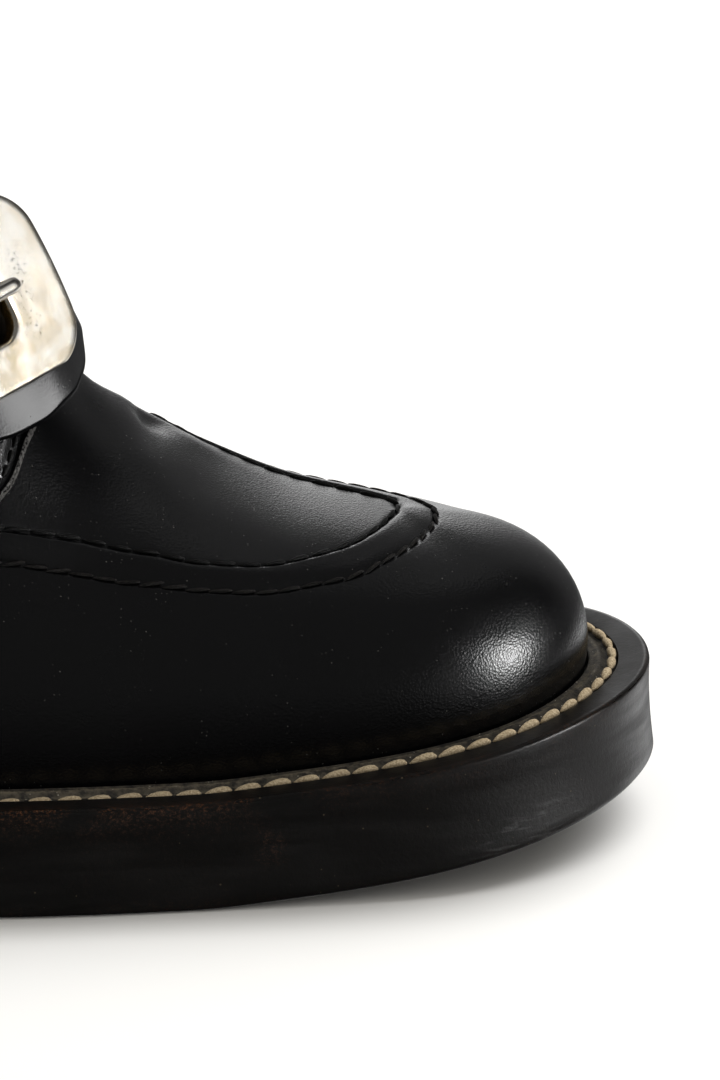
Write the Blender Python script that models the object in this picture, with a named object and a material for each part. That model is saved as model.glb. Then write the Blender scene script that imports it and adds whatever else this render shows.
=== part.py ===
# Right shoe with an apron toe, a broad instep strap and a plate buckle.
# Sizes are in millimetres and are scaled to metres when a mesh is made.
# "behind" is the distance behind the tip of the sole. The toe points along +X,
# the outer (lateral) side of the foot is -Y, and the shoe stands on Z = 0.
import math

import bmesh
import bpy
import numpy as np

MM = 0.001
GAP = 0.3

SOLE_LENGTH = 280.0
RIM_WIDTH = 5.5
RECESS_DEPTH = 3.5
SOLE_FLARE = 0.9
SOLE_BEVEL = 2.4
SOLE_KNEE = 0.3
RIM_BEVEL = 0.9
HEEL_BREAST = 204.0
HEEL_TAPER = 1.2

FEATHER_INSET = 11.8
HEEL_MARGIN = 0.62
MARGIN_FROM = 0.45
MARGIN_TO = 0.72
WALL = 2.0
WELT_STEP = 1.0
WELT_RIDGE = 0.3
WELT_CLEAR = 1.2
INSOLE_CLEAR = 0.6
INSOLE_THICK = 4.0

TOE_FAN_CENTRE = 46.0
TOE_FAN_REACH = 80.0
HEEL_FAN_CENTRE = 38.0
HEEL_FAN_REACH = 70.0
THROAT = 131.0

STRAP_THICK = 3.4
STRAP_LIFT = 0.8
STRAP_BRIDGE = 1.4
STRAP_UNDERCUT = 0.12

PLATE_LENGTH = 44.0
PLATE_WIDTH = 32.0
PLATE_THICK = 2.5
PLATE_CORNER = 8.0
PLATE_BEVEL = 0.7
FREE_BAR = 12.5
HINGE_BAR = 8.0
SLOT_WIDTH = 16.5
SLOT_CORNER = 4.0
PLATE_FREE_END = (102.7, -3.9, 99.9)
PLATE_ALONG = (0.615, 0.776, 0.139)
PLATE_NORMAL = (0.66, -0.602, 0.442)
PIN_RADIUS = 1.3
PIN_FROM_HINGE = 4.6
PRONG_WIDTH = 3.1
PRONG_THICK = 1.7
PRONG_TIP_REACH = 2.4
PRONG_TIP_SHARE = 0.55
PRONG_STEPS = (0.25, 0.5, 0.75, 0.9, 1.0)

# Half widths of the sole at even steps of the half turn from the tip to the heel back.
OUTLINE = {
    "lateral": (25.0, 43.0, 50.2, 54.6, 49.5, 43.0, 38.5, 22.5),
    "medial": (24.5, 40.5, 48.3, 45.0, 37.5, 36.0, 35.5, 21.5),
}

# Side view of the sole: underside and top of the rim.
SOLE_SIDE = {
    "behind": (0.0, 12.0, 25.0, 43.0, 61.0, 80.0, 120.0, 145.0, 170.0, 192.0, 206.0, 280.0),
    "under": (10.4, 8.2, 5.9, 3.2, 1.3, 0.0, 0.0, 3.5, 10.5, 16.3, 18.0, 18.0),
    "rim": (28.0, 26.7, 24.7, 22.2, 20.3, 19.0, 19.0, 21.5, 28.0, 33.5, 35.5, 35.5),
}

# Cross sections of the upper: crest line, then the bend of the side wall,
# the shoulder and the crown as shares of the half width and the height.
SECTIONS = {
    "behind": (46.0, 62.0, 78.0, 90.0, 98.0, 104.0, 113.0, 122.0, 135.0, 150.0, 190.0, 242.0),
    "crest_y": (3.0, 7.0, 12.0, 13.0, 12.5, 12.0, 11.5, 11.0, 10.0, 8.0, 1.0, -1.5),
    "crest_z": (52.9, 55.2, 61.0, 69.1, 73.8, 82.2, 96.0, 108.6, 121.3, 128.7, 132.0, 130.0),
    "wall_out": (1.10, 1.08, 1.07, 1.06, 1.06, 1.06, 1.05, 1.05, 1.05, 1.07, 1.10, 1.12),
    "wall_up": (0.46, 0.46, 0.45, 0.41, 0.37, 0.35, 0.32, 0.30, 0.29, 0.28, 0.25, 0.25),
    "shoulder_out": (0.98, 0.97, 0.96, 0.95, 0.93, 0.91, 0.86, 0.81, 0.81, 0.90, 1.03, 1.05),
    "shoulder_up": (0.97, 0.95, 0.89, 0.75, 0.67, 0.60, 0.50, 0.48, 0.48, 0.50, 0.50, 0.50),
    "crown": (0.52, 0.50, 0.46, 0.37, 0.37, 0.41, 0.48, 0.54, 0.60, 0.62, 0.62, 0.62),
}

# Top edge of the collar behind the throat.
COLLAR = {
    "behind": (136.0, 143.0, 152.0, 165.0, 182.0, 205.0, 235.0, 280.0),
    "height": (118.5, 112.5, 105.5, 98.0, 92.5, 90.0, 93.0, 101.0),
}

# The strap from the crest down one side: front and back edge, each with its
# station behind the tip and its rise from feather line (0) to crest (1).
STRAP = {
    "along": (0.0, 0.25, 0.5, 0.75, 1.0),
    "front": (97.4, 99.2, 109.0, 127.0, 150.0),
    "front_rise": (1.0, 0.81, 0.61, 0.50, 0.43),
    "back": (118.5, 122.0, 132.0, 149.0, 167.0),
    "back_rise": (1.0, 0.83, 0.71, 0.61, 0.52),
}

STATIONS = 46
UPPER_LEVELS = 14
STRAP_ROWS = 14
STRAP_COLUMNS = 6
CORNER_STEPS = 8
PIN_SIDES = 12
PRONG_SIDES = 10
FINE_STEPS = np.linspace(0, 1, 1001)
MERGE = 0.00001
CREASE_DEG = 35.0


def curve_at(table, column, at, key="behind"):
    """Monotone cubic curve through one column of a table."""
    x = np.asarray(table[key], float)
    y = np.asarray(table[column], float)
    step = np.diff(x)
    slope = np.diff(y) / step
    tangent = np.zeros(len(x))
    same = slope[:-1] * slope[1:] > 0
    w1 = 2 * step[1:] + step[:-1]
    w2 = step[1:] + 2 * step[:-1]
    inner = np.where(same, slope[:-1] * slope[1:], 0.0)
    tangent[1:-1] = inner * (w1 + w2) / np.where(same, w1 * slope[1:] + w2 * slope[:-1], 1.0)
    tangent[0] = slope[0]
    tangent[-1] = slope[-1]
    at = np.clip(np.asarray(at, float), x[0], x[-1])
    k = np.clip(np.searchsorted(x, at, side="right") - 1, 0, len(step) - 1)
    t = (at - x[k]) / step[k]
    rise = y[k] * (1 + 2 * t) * (1 - t) ** 2 + y[k + 1] * t * t * (3 - 2 * t)
    return rise + step[k] * t * (1 - t) * (tangent[k] * (1 - t) - tangent[k + 1] * t)


def outline(turn, side, inset=0.0):
    """Point of the sole's outline; turn runs from the tip (0) to the heel back (1)."""
    turn = np.asarray(turn, float)
    widths = np.asarray(OUTLINE["lateral" if side < 0 else "medial"])
    count = len(widths) + 1
    nodes = np.arange(1, count) * math.pi / count
    y = np.zeros_like(turn)
    dy = np.zeros_like(turn)
    for k in range(1, count):
        weight = 2.0 / count * float(np.sum(widths * np.sin(k * nodes)))
        y = y + weight * np.sin(k * math.pi * turn)
        dy = dy + weight * k * np.cos(k * math.pi * turn)
    behind = SOLE_LENGTH / 2 * (1 - np.cos(math.pi * turn))
    dbehind = SOLE_LENGTH / 2 * np.sin(math.pi * turn)
    size = np.hypot(dbehind, dy)
    return behind + inset * dy / size, side * (y - inset * dbehind / size)


def margin(turn):
    """Share of the welt's front width that is left at this turn; it is narrower round the heel."""
    back = np.clip((np.asarray(turn, float) - MARGIN_FROM) / (MARGIN_TO - MARGIN_FROM), 0, 1)
    return 1 - (1 - HEEL_MARGIN) * back * back * (3 - 2 * back)


def under(behind):
    return curve_at(SOLE_SIDE, "under", behind)


def rim(behind):
    return curve_at(SOLE_SIDE, "rim", behind)


def recess(behind):
    return rim(behind) - RECESS_DEPTH


def crest_slope(behind):
    reach = 1.0
    ahead = curve_at(SECTIONS, "crest_z", np.asarray(behind) + reach)
    back = curve_at(SECTIONS, "crest_z", np.asarray(behind) - reach)
    return (ahead - back) / (2 * reach)


def anchor(turn):
    """Station on the crest line that the section through this turn runs to."""
    behind = SOLE_LENGTH / 2 * (1 - np.cos(math.pi * np.asarray(turn, float)))
    toe_power = TOE_FAN_REACH / (TOE_FAN_REACH - TOE_FAN_CENTRE)
    toe = TOE_FAN_CENTRE + (TOE_FAN_REACH - TOE_FAN_CENTRE) * (behind / TOE_FAN_REACH) ** toe_power
    ahead = SOLE_LENGTH - behind
    heel_power = HEEL_FAN_REACH / (HEEL_FAN_REACH - HEEL_FAN_CENTRE)
    heel_span = HEEL_FAN_REACH - HEEL_FAN_CENTRE
    heel = SOLE_LENGTH - HEEL_FAN_CENTRE - heel_span * (ahead / HEEL_FAN_REACH) ** heel_power
    return np.where(behind < TOE_FAN_REACH, toe, np.where(ahead < HEEL_FAN_REACH, heel, behind))


def section(rise, station):
    """Share of the half width and of the height on the section's curve."""
    names = ("wall_out", "wall_up", "shoulder_out", "shoulder_up", "crown")
    wall_out, wall_up, out, up, crown = (curve_at(SECTIONS, name, station) for name in names)
    t = np.asarray(rise, float)
    b0 = (1 - t) ** 4
    b1 = 4 * t * (1 - t) ** 3
    b2 = 6 * t * t * (1 - t) ** 2
    b3 = 4 * t ** 3 * (1 - t)
    b4 = t ** 4
    return b0 + b1 * wall_out + b2 * out + b3 * crown, b1 * wall_up + b2 * up + b3 + b4


def upper_point(turn, side, rise, grow=0.0):
    """Point of the upper's skin, or of the skin grown outwards along its own form."""
    station = anchor(turn)
    slope = crest_slope(station)
    foot_behind, foot_y = outline(turn, side, FEATHER_INSET * margin(turn) - grow)
    crest_y = curve_at(SECTIONS, "crest_y", station)
    crest_z = curve_at(SECTIONS, "crest_z", station) + grow * np.sqrt(1 + slope ** 2)
    out, up = section(rise, station)
    behind = station + (foot_behind - station) * out
    y = crest_y + (foot_y - crest_y) * out
    foot_z = recess(np.clip(foot_behind, 0, SOLE_LENGTH)) + GAP
    top_z = crest_z + slope * (behind - station)
    return np.stack([behind, y, foot_z + (top_z - foot_z) * up], axis=-1)


def top_rise(turn, side):
    """Rise at which the wall stops: the crest in front, the collar's edge behind."""
    station = float(anchor(turn))
    if station <= THROAT:
        return 1.0
    points = upper_point(np.full_like(FINE_STEPS, turn), side, FINE_STEPS)
    table = {
        "behind": (THROAT,) + COLLAR["behind"],
        "height": (float(curve_at(SECTIONS, "crest_z", THROAT)),) + COLLAR["height"],
    }
    over = points[:, 2] - curve_at(table, "height", points[:, 0])
    if over[-1] <= 0:
        return 1.0
    k = int(np.argmax(over > 0))
    share = over[k - 1] / (over[k - 1] - over[k])
    return float(FINE_STEPS[k - 1] + (FINE_STEPS[k] - FINE_STEPS[k - 1]) * share)


def turn_of(station):
    """Turn whose section runs to this station of the crest line."""
    return np.interp(station, anchor(FINE_STEPS), FINE_STEPS)


MIDDLE_Y = float(outline(FINE_STEPS, -1)[1].min() + outline(FINE_STEPS, 1)[1].max()) / 2


def place(points):
    """From distance behind the tip, side and height to metres in the shoe's frame."""
    points = np.asarray(points, float)
    x = SOLE_LENGTH / 2 - points[..., 0]
    return np.stack([x, points[..., 1] - MIDDLE_Y, points[..., 2]], axis=-1) * MM


def make_material(name, colour, roughness, metallic=0.0):
    material = bpy.data.materials.new(name)
    material.use_nodes = True
    shader = material.node_tree.nodes["Principled BSDF"]
    shader.inputs["Base Color"].default_value = (*colour, 1.0)
    shader.inputs["Roughness"].default_value = roughness
    shader.inputs["Metallic"].default_value = metallic
    return material


def make_object(name, points, faces, material):
    """Closed mesh from points already in metres; double points are merged."""
    form = bmesh.new()
    verts = [form.verts.new(p) for p in points]
    for face in faces:
        form.faces.new([verts[i] for i in face])
    bmesh.ops.remove_doubles(form, verts=form.verts, dist=MERGE)
    bmesh.ops.dissolve_degenerate(form, edges=form.edges, dist=MERGE / 10)
    bmesh.ops.triangulate(form, faces=form.faces)
    bmesh.ops.recalc_face_normals(form, faces=form.faces)
    mesh = bpy.data.meshes.new(name)
    form.to_mesh(mesh)
    form.free()
    mesh.shade_smooth()
    mesh.set_sharp_from_angle(angle=math.radians(CREASE_DEG))
    mesh.materials.append(material)
    node = bpy.data.objects.new(name, mesh)
    bpy.context.collection.objects.link(node)
    return node


def loop_turns():
    """Turn and side of each point round the outline: lateral side back, medial side forward."""
    turns = np.linspace(0, 1, STATIONS + 1)
    return np.concatenate([turns, turns[-2:0:-1]]), np.repeat([-1, 1], [STATIONS + 1, STATIONS - 1])


def outline_ring(width, inset, height):
    """One loop round the sole, in from its edge by a width that shrinks at the heel and a fixed inset."""
    turns, sides = loop_turns()
    behind = np.empty(len(turns))
    y = np.empty(len(turns))
    for side in (-1, 1):
        mine = sides == side
        behind[mine], y[mine] = outline(turns[mine], side, width * margin(turns[mine]) + inset)
    z = height(np.clip(behind, 0, SOLE_LENGTH))
    return np.stack([behind, y, z], axis=-1)


def bridge(first, second, count):
    """Faces between two loops of the same count, given by their first index."""
    pairs = [(i, (i + 1) % count) for i in range(count)]
    return [(first + i, first + j, second + j, second + i) for i, j in pairs]


def cap(first):
    """Faces across a loop, from the lateral to the medial side."""
    count = 2 * STATIONS
    faces = [(first, first + 1, first + count - 1)]
    for i in range(1, STATIONS - 1):
        faces.append((first + i, first + i + 1, first + count - i - 1, first + count - i))
    faces.append((first + STATIONS - 1, first + STATIONS, first + STATIONS + 1))
    return faces


def make_plate_form(name, rings, material):
    """Solid from loops stacked from the underside to the top, closed at both ends."""
    count = 2 * STATIONS
    faces = cap(0) + cap((len(rings) - 1) * count)
    for k in range(len(rings) - 1):
        faces += bridge(k * count, (k + 1) * count, count)
    return make_object(name, place(np.concatenate(rings)), faces, material)


def make_outsole(material):
    """Sole with a rounded lower corner, a rim round its top edge and a recess for the upper."""
    knee = SOLE_BEVEL * SOLE_KNEE
    rings = [
        outline_ring(0.0, SOLE_BEVEL - SOLE_FLARE, under),
        outline_ring(0.0, knee - SOLE_FLARE, lambda d: under(d) + knee),
        outline_ring(0.0, -SOLE_FLARE, lambda d: under(d) + SOLE_BEVEL),
        outline_ring(0.0, 0.0, lambda d: rim(d) - RIM_BEVEL),
        outline_ring(0.0, RIM_BEVEL, rim),
        outline_ring(RIM_WIDTH, 0.0, rim),
        outline_ring(RIM_WIDTH, 0.0, recess),
    ]
    return make_plate_form("outsole", rings, material)


def make_heel(material):
    """Block under the seat, cut straight at the breast and a little smaller below."""
    top = float(under(SOLE_LENGTH)) - GAP
    loops = []
    for inset, z in ((HEEL_TAPER + SOLE_BEVEL, 0.0), (SOLE_BEVEL, top)):
        ring = outline_ring(0.0, inset, lambda d: np.full_like(d, z))
        loops.append(ring[ring[:, 0] > HEEL_BREAST])
    count = len(loops[0])
    faces = [tuple(range(count)), tuple(range(count, 2 * count))]
    faces += bridge(0, count, count)
    return make_object("heel", place(np.concatenate(loops)), faces, material)


def make_welt(material):
    """Strip in the sole's recess, between the rim and the foot of the upper."""
    rings = [
        outline_ring(RIM_WIDTH, GAP, lambda d: recess(d) + GAP),
        outline_ring(RIM_WIDTH, GAP, lambda d: rim(d) - WELT_STEP),
        outline_ring(FEATHER_INSET, -WELT_CLEAR, lambda d: rim(d) + WELT_RIDGE),
        outline_ring(FEATHER_INSET, -WELT_CLEAR, lambda d: recess(d) + GAP),
    ]
    count = 2 * STATIONS
    faces = []
    for k in range(4):
        faces += bridge(k * count, (k + 1) % 4 * count, count)
    return make_object("welt", place(np.concatenate(rings)), faces, material)


def make_insole(material):
    clear = WALL + INSOLE_CLEAR
    rings = [
        outline_ring(FEATHER_INSET, clear, lambda d: recess(d) + GAP),
        outline_ring(FEATHER_INSET, clear, lambda d: recess(d) + GAP + INSOLE_THICK),
    ]
    return make_plate_form("insole", rings, material)


def upper_sheet(turns, side, grow):
    """Grid of points of one half of the upper, one row a turn, from the feather to the top edge."""
    rows = []
    for turn in turns:
        rises = np.linspace(0, 1, UPPER_LEVELS + 1) * top_rise(turn, side)
        rows.append(upper_point(np.full_like(rises, turn), side, rises, grow))
    return np.asarray(rows)


def make_upper(material):
    """Hollow upper: outer and inner skin, joined at the collar and round the open foot."""
    turns = np.sort(np.append(np.linspace(0, 1, STATIONS + 1), turn_of(THROAT)))
    rows, columns = len(turns), UPPER_LEVELS + 1
    closed = anchor(turns) <= THROAT
    points, faces = [], []
    for side in (-1, 1):
        outer = upper_sheet(turns, side, 0.0)
        inner = upper_sheet(turns, side, -WALL)
        inner[:, 0, 2] = outer[:, 0, 2]
        first = sum(len(p) for p in points)
        second = first + rows * columns
        points += [outer.reshape(-1, 3), inner.reshape(-1, 3)]
        for i in range(rows - 1):
            for j in range(columns - 1):
                a, b = first + i * columns + j, first + (i + 1) * columns + j
                faces.append((a, b, b + 1, a + 1))
                a, b = second + i * columns + j, second + (i + 1) * columns + j
                faces.append((a, a + 1, b + 1, b))
            foot, far_foot = i * columns, (i + 1) * columns
            faces.append((first + foot, second + foot, second + far_foot, first + far_foot))
            if not (closed[i] and closed[i + 1]):
                edge, far_edge = foot + columns - 1, far_foot + columns - 1
                faces.append((first + edge, first + far_edge, second + far_edge, second + edge))
    return make_object("upper", place(np.concatenate(points)), faces, material)


def strap_point(along, across, grow):
    """Point over the upper: along from -1 (lateral end) to 1 (medial end), across front to back."""
    reach = abs(along)
    ends = []
    for edge in ("front", "back"):
        station = curve_at(STRAP, edge, reach, "along")
        rise = curve_at(STRAP, edge + "_rise", reach, "along")
        ends.append((float(station), float(rise)))
    station = ends[0][0] + (ends[1][0] - ends[0][0]) * across
    rise = ends[0][1] + (ends[1][1] - ends[0][1]) * across
    return upper_point(turn_of(station), -1 if along < 0 else 1, rise, grow)


def make_strap(material):
    """Band over the instep, cut between two forms grown from the upper."""
    alongs = np.linspace(-1, 1, 2 * STRAP_ROWS + 1)
    acrosses = np.linspace(0, 1, STRAP_COLUMNS + 1)
    points = []
    for thick, undercut in ((0.0, STRAP_UNDERCUT), (STRAP_THICK, 0.0)):
        shares = undercut + acrosses * (1 - 2 * undercut)
        for along in alongs:
            grow = STRAP_LIFT + STRAP_BRIDGE * max(0.0, 1 - 2 * abs(along)) + thick
            points += [strap_point(along, share, grow) for share in shares]
    columns = len(acrosses)
    top = len(alongs) * columns
    faces = []
    for i in range(len(alongs) - 1):
        for j in range(columns - 1):
            a, b = i * columns + j, (i + 1) * columns + j
            faces.append((a, a + 1, b + 1, b))
            faces.append((top + a, top + b, top + b + 1, top + a + 1))
        for j in (0, columns - 1):
            a, b = i * columns + j, (i + 1) * columns + j
            faces.append((a, b, top + b, top + a))
    for i in (0, len(alongs) - 1):
        for j in range(columns - 1):
            a = i * columns + j
            faces.append((a, a + 1, top + a + 1, top + a))
    return make_object("strap", place(np.asarray(points)), faces, material)


def plate_axes():
    """Along the strap, across it and outwards, with +X towards the toe."""
    along = np.asarray(PLATE_ALONG) / np.linalg.norm(PLATE_ALONG)
    out = np.asarray(PLATE_NORMAL) - np.dot(PLATE_NORMAL, along) * along
    out = out / np.linalg.norm(out)
    return along, np.cross(out, along), out


def from_plate(points):
    """Plate coordinates (along from the free end, across, above the top face) to metres."""
    along, across, out = plate_axes()
    points = np.asarray(points, float)
    end = place(PLATE_FREE_END)
    moved = points[:, 0:1] * along + points[:, 1:2] * across + points[:, 2:3] * out
    return end + moved * MM


def rounded_loop(lo, hi, half, corner, height):
    """Rounded rectangle from lo to hi along the plate, half wide to each side."""
    points = []
    corners = ((hi, half, 0), (lo, half, 1), (lo, -half, 2), (hi, -half, 3))
    for a, b, quarter in corners:
        centre_a = a - math.copysign(corner, a - (lo + hi) / 2)
        centre_b = b - math.copysign(corner, b)
        for k in range(CORNER_STEPS + 1):
            angle = (quarter + k / CORNER_STEPS) * math.pi / 2
            along = centre_a + corner * math.cos(angle)
            points.append((along, centre_b + corner * math.sin(angle), height))
    return points


def make_buckle_plate(material):
    half = PLATE_WIDTH / 2
    slot = SLOT_WIDTH / 2
    slot_lo, slot_hi = HINGE_BAR - PLATE_LENGTH, -FREE_BAR
    e = PLATE_BEVEL
    loops = [
        rounded_loop(-PLATE_LENGTH, 0.0, half, PLATE_CORNER, -PLATE_THICK),
        rounded_loop(-PLATE_LENGTH, 0.0, half, PLATE_CORNER, -e),
        rounded_loop(e - PLATE_LENGTH, -e, half - e, PLATE_CORNER - e, 0.0),
        rounded_loop(slot_lo - e, slot_hi + e, slot + e, SLOT_CORNER + e, 0.0),
        rounded_loop(slot_lo, slot_hi, slot, SLOT_CORNER, -e),
        rounded_loop(slot_lo, slot_hi, slot, SLOT_CORNER, -PLATE_THICK),
    ]
    count = len(loops[0])
    faces = []
    for k in range(len(loops)):
        faces += bridge(k * count, (k + 1) % len(loops) * count, count)
    return make_object("buckle_plate", from_plate(np.concatenate(loops)), faces, material)


def pin_place():
    return HINGE_BAR - PLATE_LENGTH + PIN_FROM_HINGE, -PLATE_THICK / 2


def make_buckle_bar(material):
    """Pin across the slot, near its hinge end."""
    along, height = pin_place()
    half = SLOT_WIDTH / 2 - GAP
    points = []
    for across in (-half, half):
        for k in range(PIN_SIDES):
            angle = 2 * math.pi * k / PIN_SIDES
            lift = PIN_RADIUS * math.sin(angle)
            points.append((along + PIN_RADIUS * math.cos(angle), across, height + lift))
    faces = bridge(0, PIN_SIDES, PIN_SIDES)
    faces += [tuple(range(PIN_SIDES)), tuple(range(PIN_SIDES, 2 * PIN_SIDES))]
    return make_object("buckle_bar", from_plate(points), faces, material)


def prong_path():
    """Centre line of the prong from the hook over the pin to the tip on the free bar."""
    along, height = pin_place()
    curl = PIN_RADIUS + 2 * GAP + PRONG_THICK / 2
    path = []
    for degrees in range(180, 89, -15):
        angle = math.radians(degrees)
        path.append((along + curl * math.cos(angle), height + curl * math.sin(angle)))
    rest = GAP + PRONG_THICK / 2
    start = max(height + curl, rest)
    tip = PRONG_TIP_REACH - FREE_BAR
    for share in PRONG_STEPS:
        path.append((along + (tip - along) * share, start + (rest - start) * share))
    return path


def make_buckle_prong(material):
    path = np.asarray(prong_path())
    tangent = np.gradient(path, axis=0)
    tangent /= np.linalg.norm(tangent, axis=1)[:, None]
    sides = PRONG_SIDES
    points = []
    for k, (point, along) in enumerate(zip(path, tangent)):
        near_tip = PRONG_TIP_SHARE if k == len(path) - 1 else 1.0
        for i in range(sides):
            angle = 2 * math.pi * i / sides
            across = PRONG_WIDTH / 2 * math.cos(angle) * near_tip
            lift = PRONG_THICK / 2 * math.sin(angle) * near_tip
            points.append((point[0] - along[1] * lift, across, point[1] + along[0] * lift))
    faces = []
    for k in range(len(path) - 1):
        faces += bridge(k * sides, (k + 1) * sides, sides)
    last = (len(path) - 1) * sides
    faces += [tuple(range(sides)), tuple(range(last, last + sides))]
    return make_object("buckle_prong", from_plate(points), faces, material)


def main():
    for old in list(bpy.data.objects):
        bpy.data.objects.remove(old)
    black_leather = make_material("black_leather", (0.012, 0.012, 0.013), 0.38)
    sole_leather = make_material("sole_edge", (0.022, 0.018, 0.016), 0.55)
    welt_leather = make_material("welt_strip", (0.05, 0.042, 0.032), 0.75)
    lining = make_material("insole_leather", (0.32, 0.22, 0.14), 0.7)
    metal = make_material("polished_metal", (0.72, 0.70, 0.67), 0.16, 1.0)
    make_outsole(sole_leather)
    make_heel(sole_leather)
    make_welt(welt_leather)
    make_insole(lining)
    make_upper(black_leather)
    make_strap(black_leather)
    make_buckle_plate(metal)
    make_buckle_bar(metal)
    make_buckle_prong(metal)


main()
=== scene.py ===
# Looks of a right shoe with an apron toe, an instep strap and a plate buckle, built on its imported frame.
# Sizes are millimetres: "behind" runs back from the tip of the sole, -y is the outer side of the foot.
import math

import bmesh
import bpy
import numpy as np
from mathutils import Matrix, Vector


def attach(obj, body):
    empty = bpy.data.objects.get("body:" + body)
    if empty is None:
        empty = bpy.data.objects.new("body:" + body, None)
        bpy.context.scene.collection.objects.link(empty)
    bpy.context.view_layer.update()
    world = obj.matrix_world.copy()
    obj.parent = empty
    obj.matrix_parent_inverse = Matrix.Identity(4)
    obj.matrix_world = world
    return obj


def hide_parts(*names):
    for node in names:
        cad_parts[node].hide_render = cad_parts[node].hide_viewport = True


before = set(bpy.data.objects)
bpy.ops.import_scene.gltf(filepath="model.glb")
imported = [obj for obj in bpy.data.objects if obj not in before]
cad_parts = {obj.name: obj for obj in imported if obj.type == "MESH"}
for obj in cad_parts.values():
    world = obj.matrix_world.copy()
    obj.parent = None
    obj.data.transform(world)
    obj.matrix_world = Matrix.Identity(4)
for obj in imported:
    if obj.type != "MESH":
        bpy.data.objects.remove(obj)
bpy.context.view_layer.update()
mm = 0.001

# The form of the last and the sole, with the same sizes as the frame
form = {
    "soleLength": 280.0, "rimWidth": 5.5, "recessDepth": 3.5, "featherInset": 11.8, "gap": 0.3,
    "heelMargin": 0.62, "marginFrom": 0.45, "marginTo": 0.72,
    "toeCentre": 46.0, "toeReach": 80.0, "heelCentre": 38.0, "heelReach": 70.0, "throat": 131.0,
    "footEven": 5.0, "toeEase": 0.55,
    "evenFrom": (0.355, 0.385), "evenTo": (0.440, 0.475), "evenStep": 0.011, "evenRise": (0.72, 0.94),
}
halfWidths = {
    -1: (25.0, 43.0, 50.2, 54.6, 49.5, 43.0, 38.5, 22.5),
    1: (24.5, 40.5, 48.3, 45.0, 37.5, 36.0, 35.5, 21.5),
}
soleSide = {
    "behind": (0.0, 12.0, 25.0, 43.0, 61.0, 80.0, 120.0, 145.0, 170.0, 192.0, 206.0, 280.0),
    "under": (10.4, 8.2, 5.9, 3.2, 1.3, 0.0, 0.0, 3.5, 10.5, 16.3, 18.0, 18.0),
    "rim": (28.0, 26.7, 24.7, 22.2, 20.3, 19.0, 19.0, 21.5, 28.0, 33.5, 35.5, 35.5),
}
sections = {
    "behind": (46.0, 62.0, 78.0, 90.0, 98.0, 104.0, 113.0, 122.0, 135.0, 150.0, 190.0, 242.0),
    "crestY": (3.0, 7.0, 12.0, 13.0, 12.5, 12.0, 11.5, 11.0, 10.0, 8.0, 1.0, -1.5),
    "crestZ": (52.9, 55.2, 61.0, 69.1, 73.8, 82.2, 96.0, 108.6, 121.3, 128.7, 132.0, 130.0),
    "wallOut": (1.10, 1.08, 1.07, 1.06, 1.06, 1.06, 1.05, 1.05, 1.05, 1.07, 1.10, 1.12),
    "wallUp": (0.46, 0.46, 0.45, 0.41, 0.37, 0.35, 0.32, 0.30, 0.29, 0.28, 0.25, 0.25),
    "shoulderOut": (0.98, 0.97, 0.96, 0.95, 0.93, 0.91, 0.86, 0.81, 0.81, 0.90, 1.03, 1.05),
    "shoulderUp": (0.97, 0.95, 0.89, 0.75, 0.67, 0.60, 0.50, 0.48, 0.48, 0.50, 0.50, 0.50),
    "crown": (0.52, 0.50, 0.46, 0.37, 0.37, 0.41, 0.48, 0.54, 0.60, 0.62, 0.62, 0.62),
}
collarLine = {
    "behind": (136.0, 143.0, 152.0, 165.0, 182.0, 205.0, 235.0, 280.0),
    "height": (118.5, 112.5, 105.5, 98.0, 92.5, 90.0, 93.0, 101.0),
}
# The strap's two edges along it, from the outer (-1) to the inner side (1),
# and their rises by reach from the crest
strapLine = {
    "along": (-1.0, -0.75, -0.5, -0.35, -0.25, -0.12, 0.0, 0.12, 0.25, 0.5, 0.75, 1.0),
    "front": (150.0, 127.0, 109.6, 101.4, 98.7, 97.95, 98.8, 99.35, 99.7, 109.0, 127.0, 150.0),
    "back": (167.0, 149.0, 132.0, 125.3, 122.0, 119.5, 118.5, 119.5, 122.0, 132.0, 149.0, 167.0),
    "reach": (-0.25, 0.0, 0.25, 0.5, 0.75, 1.0),
    "frontRise": (1.19, 1.0, 0.81, 0.61, 0.50, 0.43),
    "backRise": (1.17, 1.0, 0.83, 0.71, 0.61, 0.52),
}


def smoothStep(value, low, high):
    share = np.clip((np.asarray(value, float) - low) / (high - low), 0, 1)
    return share * share * (3 - 2 * share)


# Monotone cubic curve through one column of a table
def curveAt(table, column, at, key="behind"):
    x = np.asarray(table[key], float)
    y = np.asarray(table[column], float)
    step = np.diff(x)
    slope = np.diff(y) / step
    same = slope[:-1] * slope[1:] > 0
    w1 = 2 * step[1:] + step[:-1]
    w2 = step[1:] + 2 * step[:-1]
    tangent = np.zeros(len(x))
    inner = np.where(same, slope[:-1] * slope[1:], 0.0)
    tangent[1:-1] = inner * (w1 + w2) / np.where(same, w1 * slope[1:] + w2 * slope[:-1], 1.0)
    tangent[0] = slope[0]
    tangent[-1] = slope[-1]
    at = np.clip(np.asarray(at, float), x[0], x[-1])
    k = np.clip(np.searchsorted(x, at, side="right") - 1, 0, len(step) - 1)
    t = (at - x[k]) / step[k]
    rise = y[k] * (1 + 2 * t) * (1 - t) ** 2 + y[k + 1] * t * t * (3 - 2 * t)
    return rise + step[k] * t * (1 - t) * (tangent[k] * (1 - t) - tangent[k + 1] * t)


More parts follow.
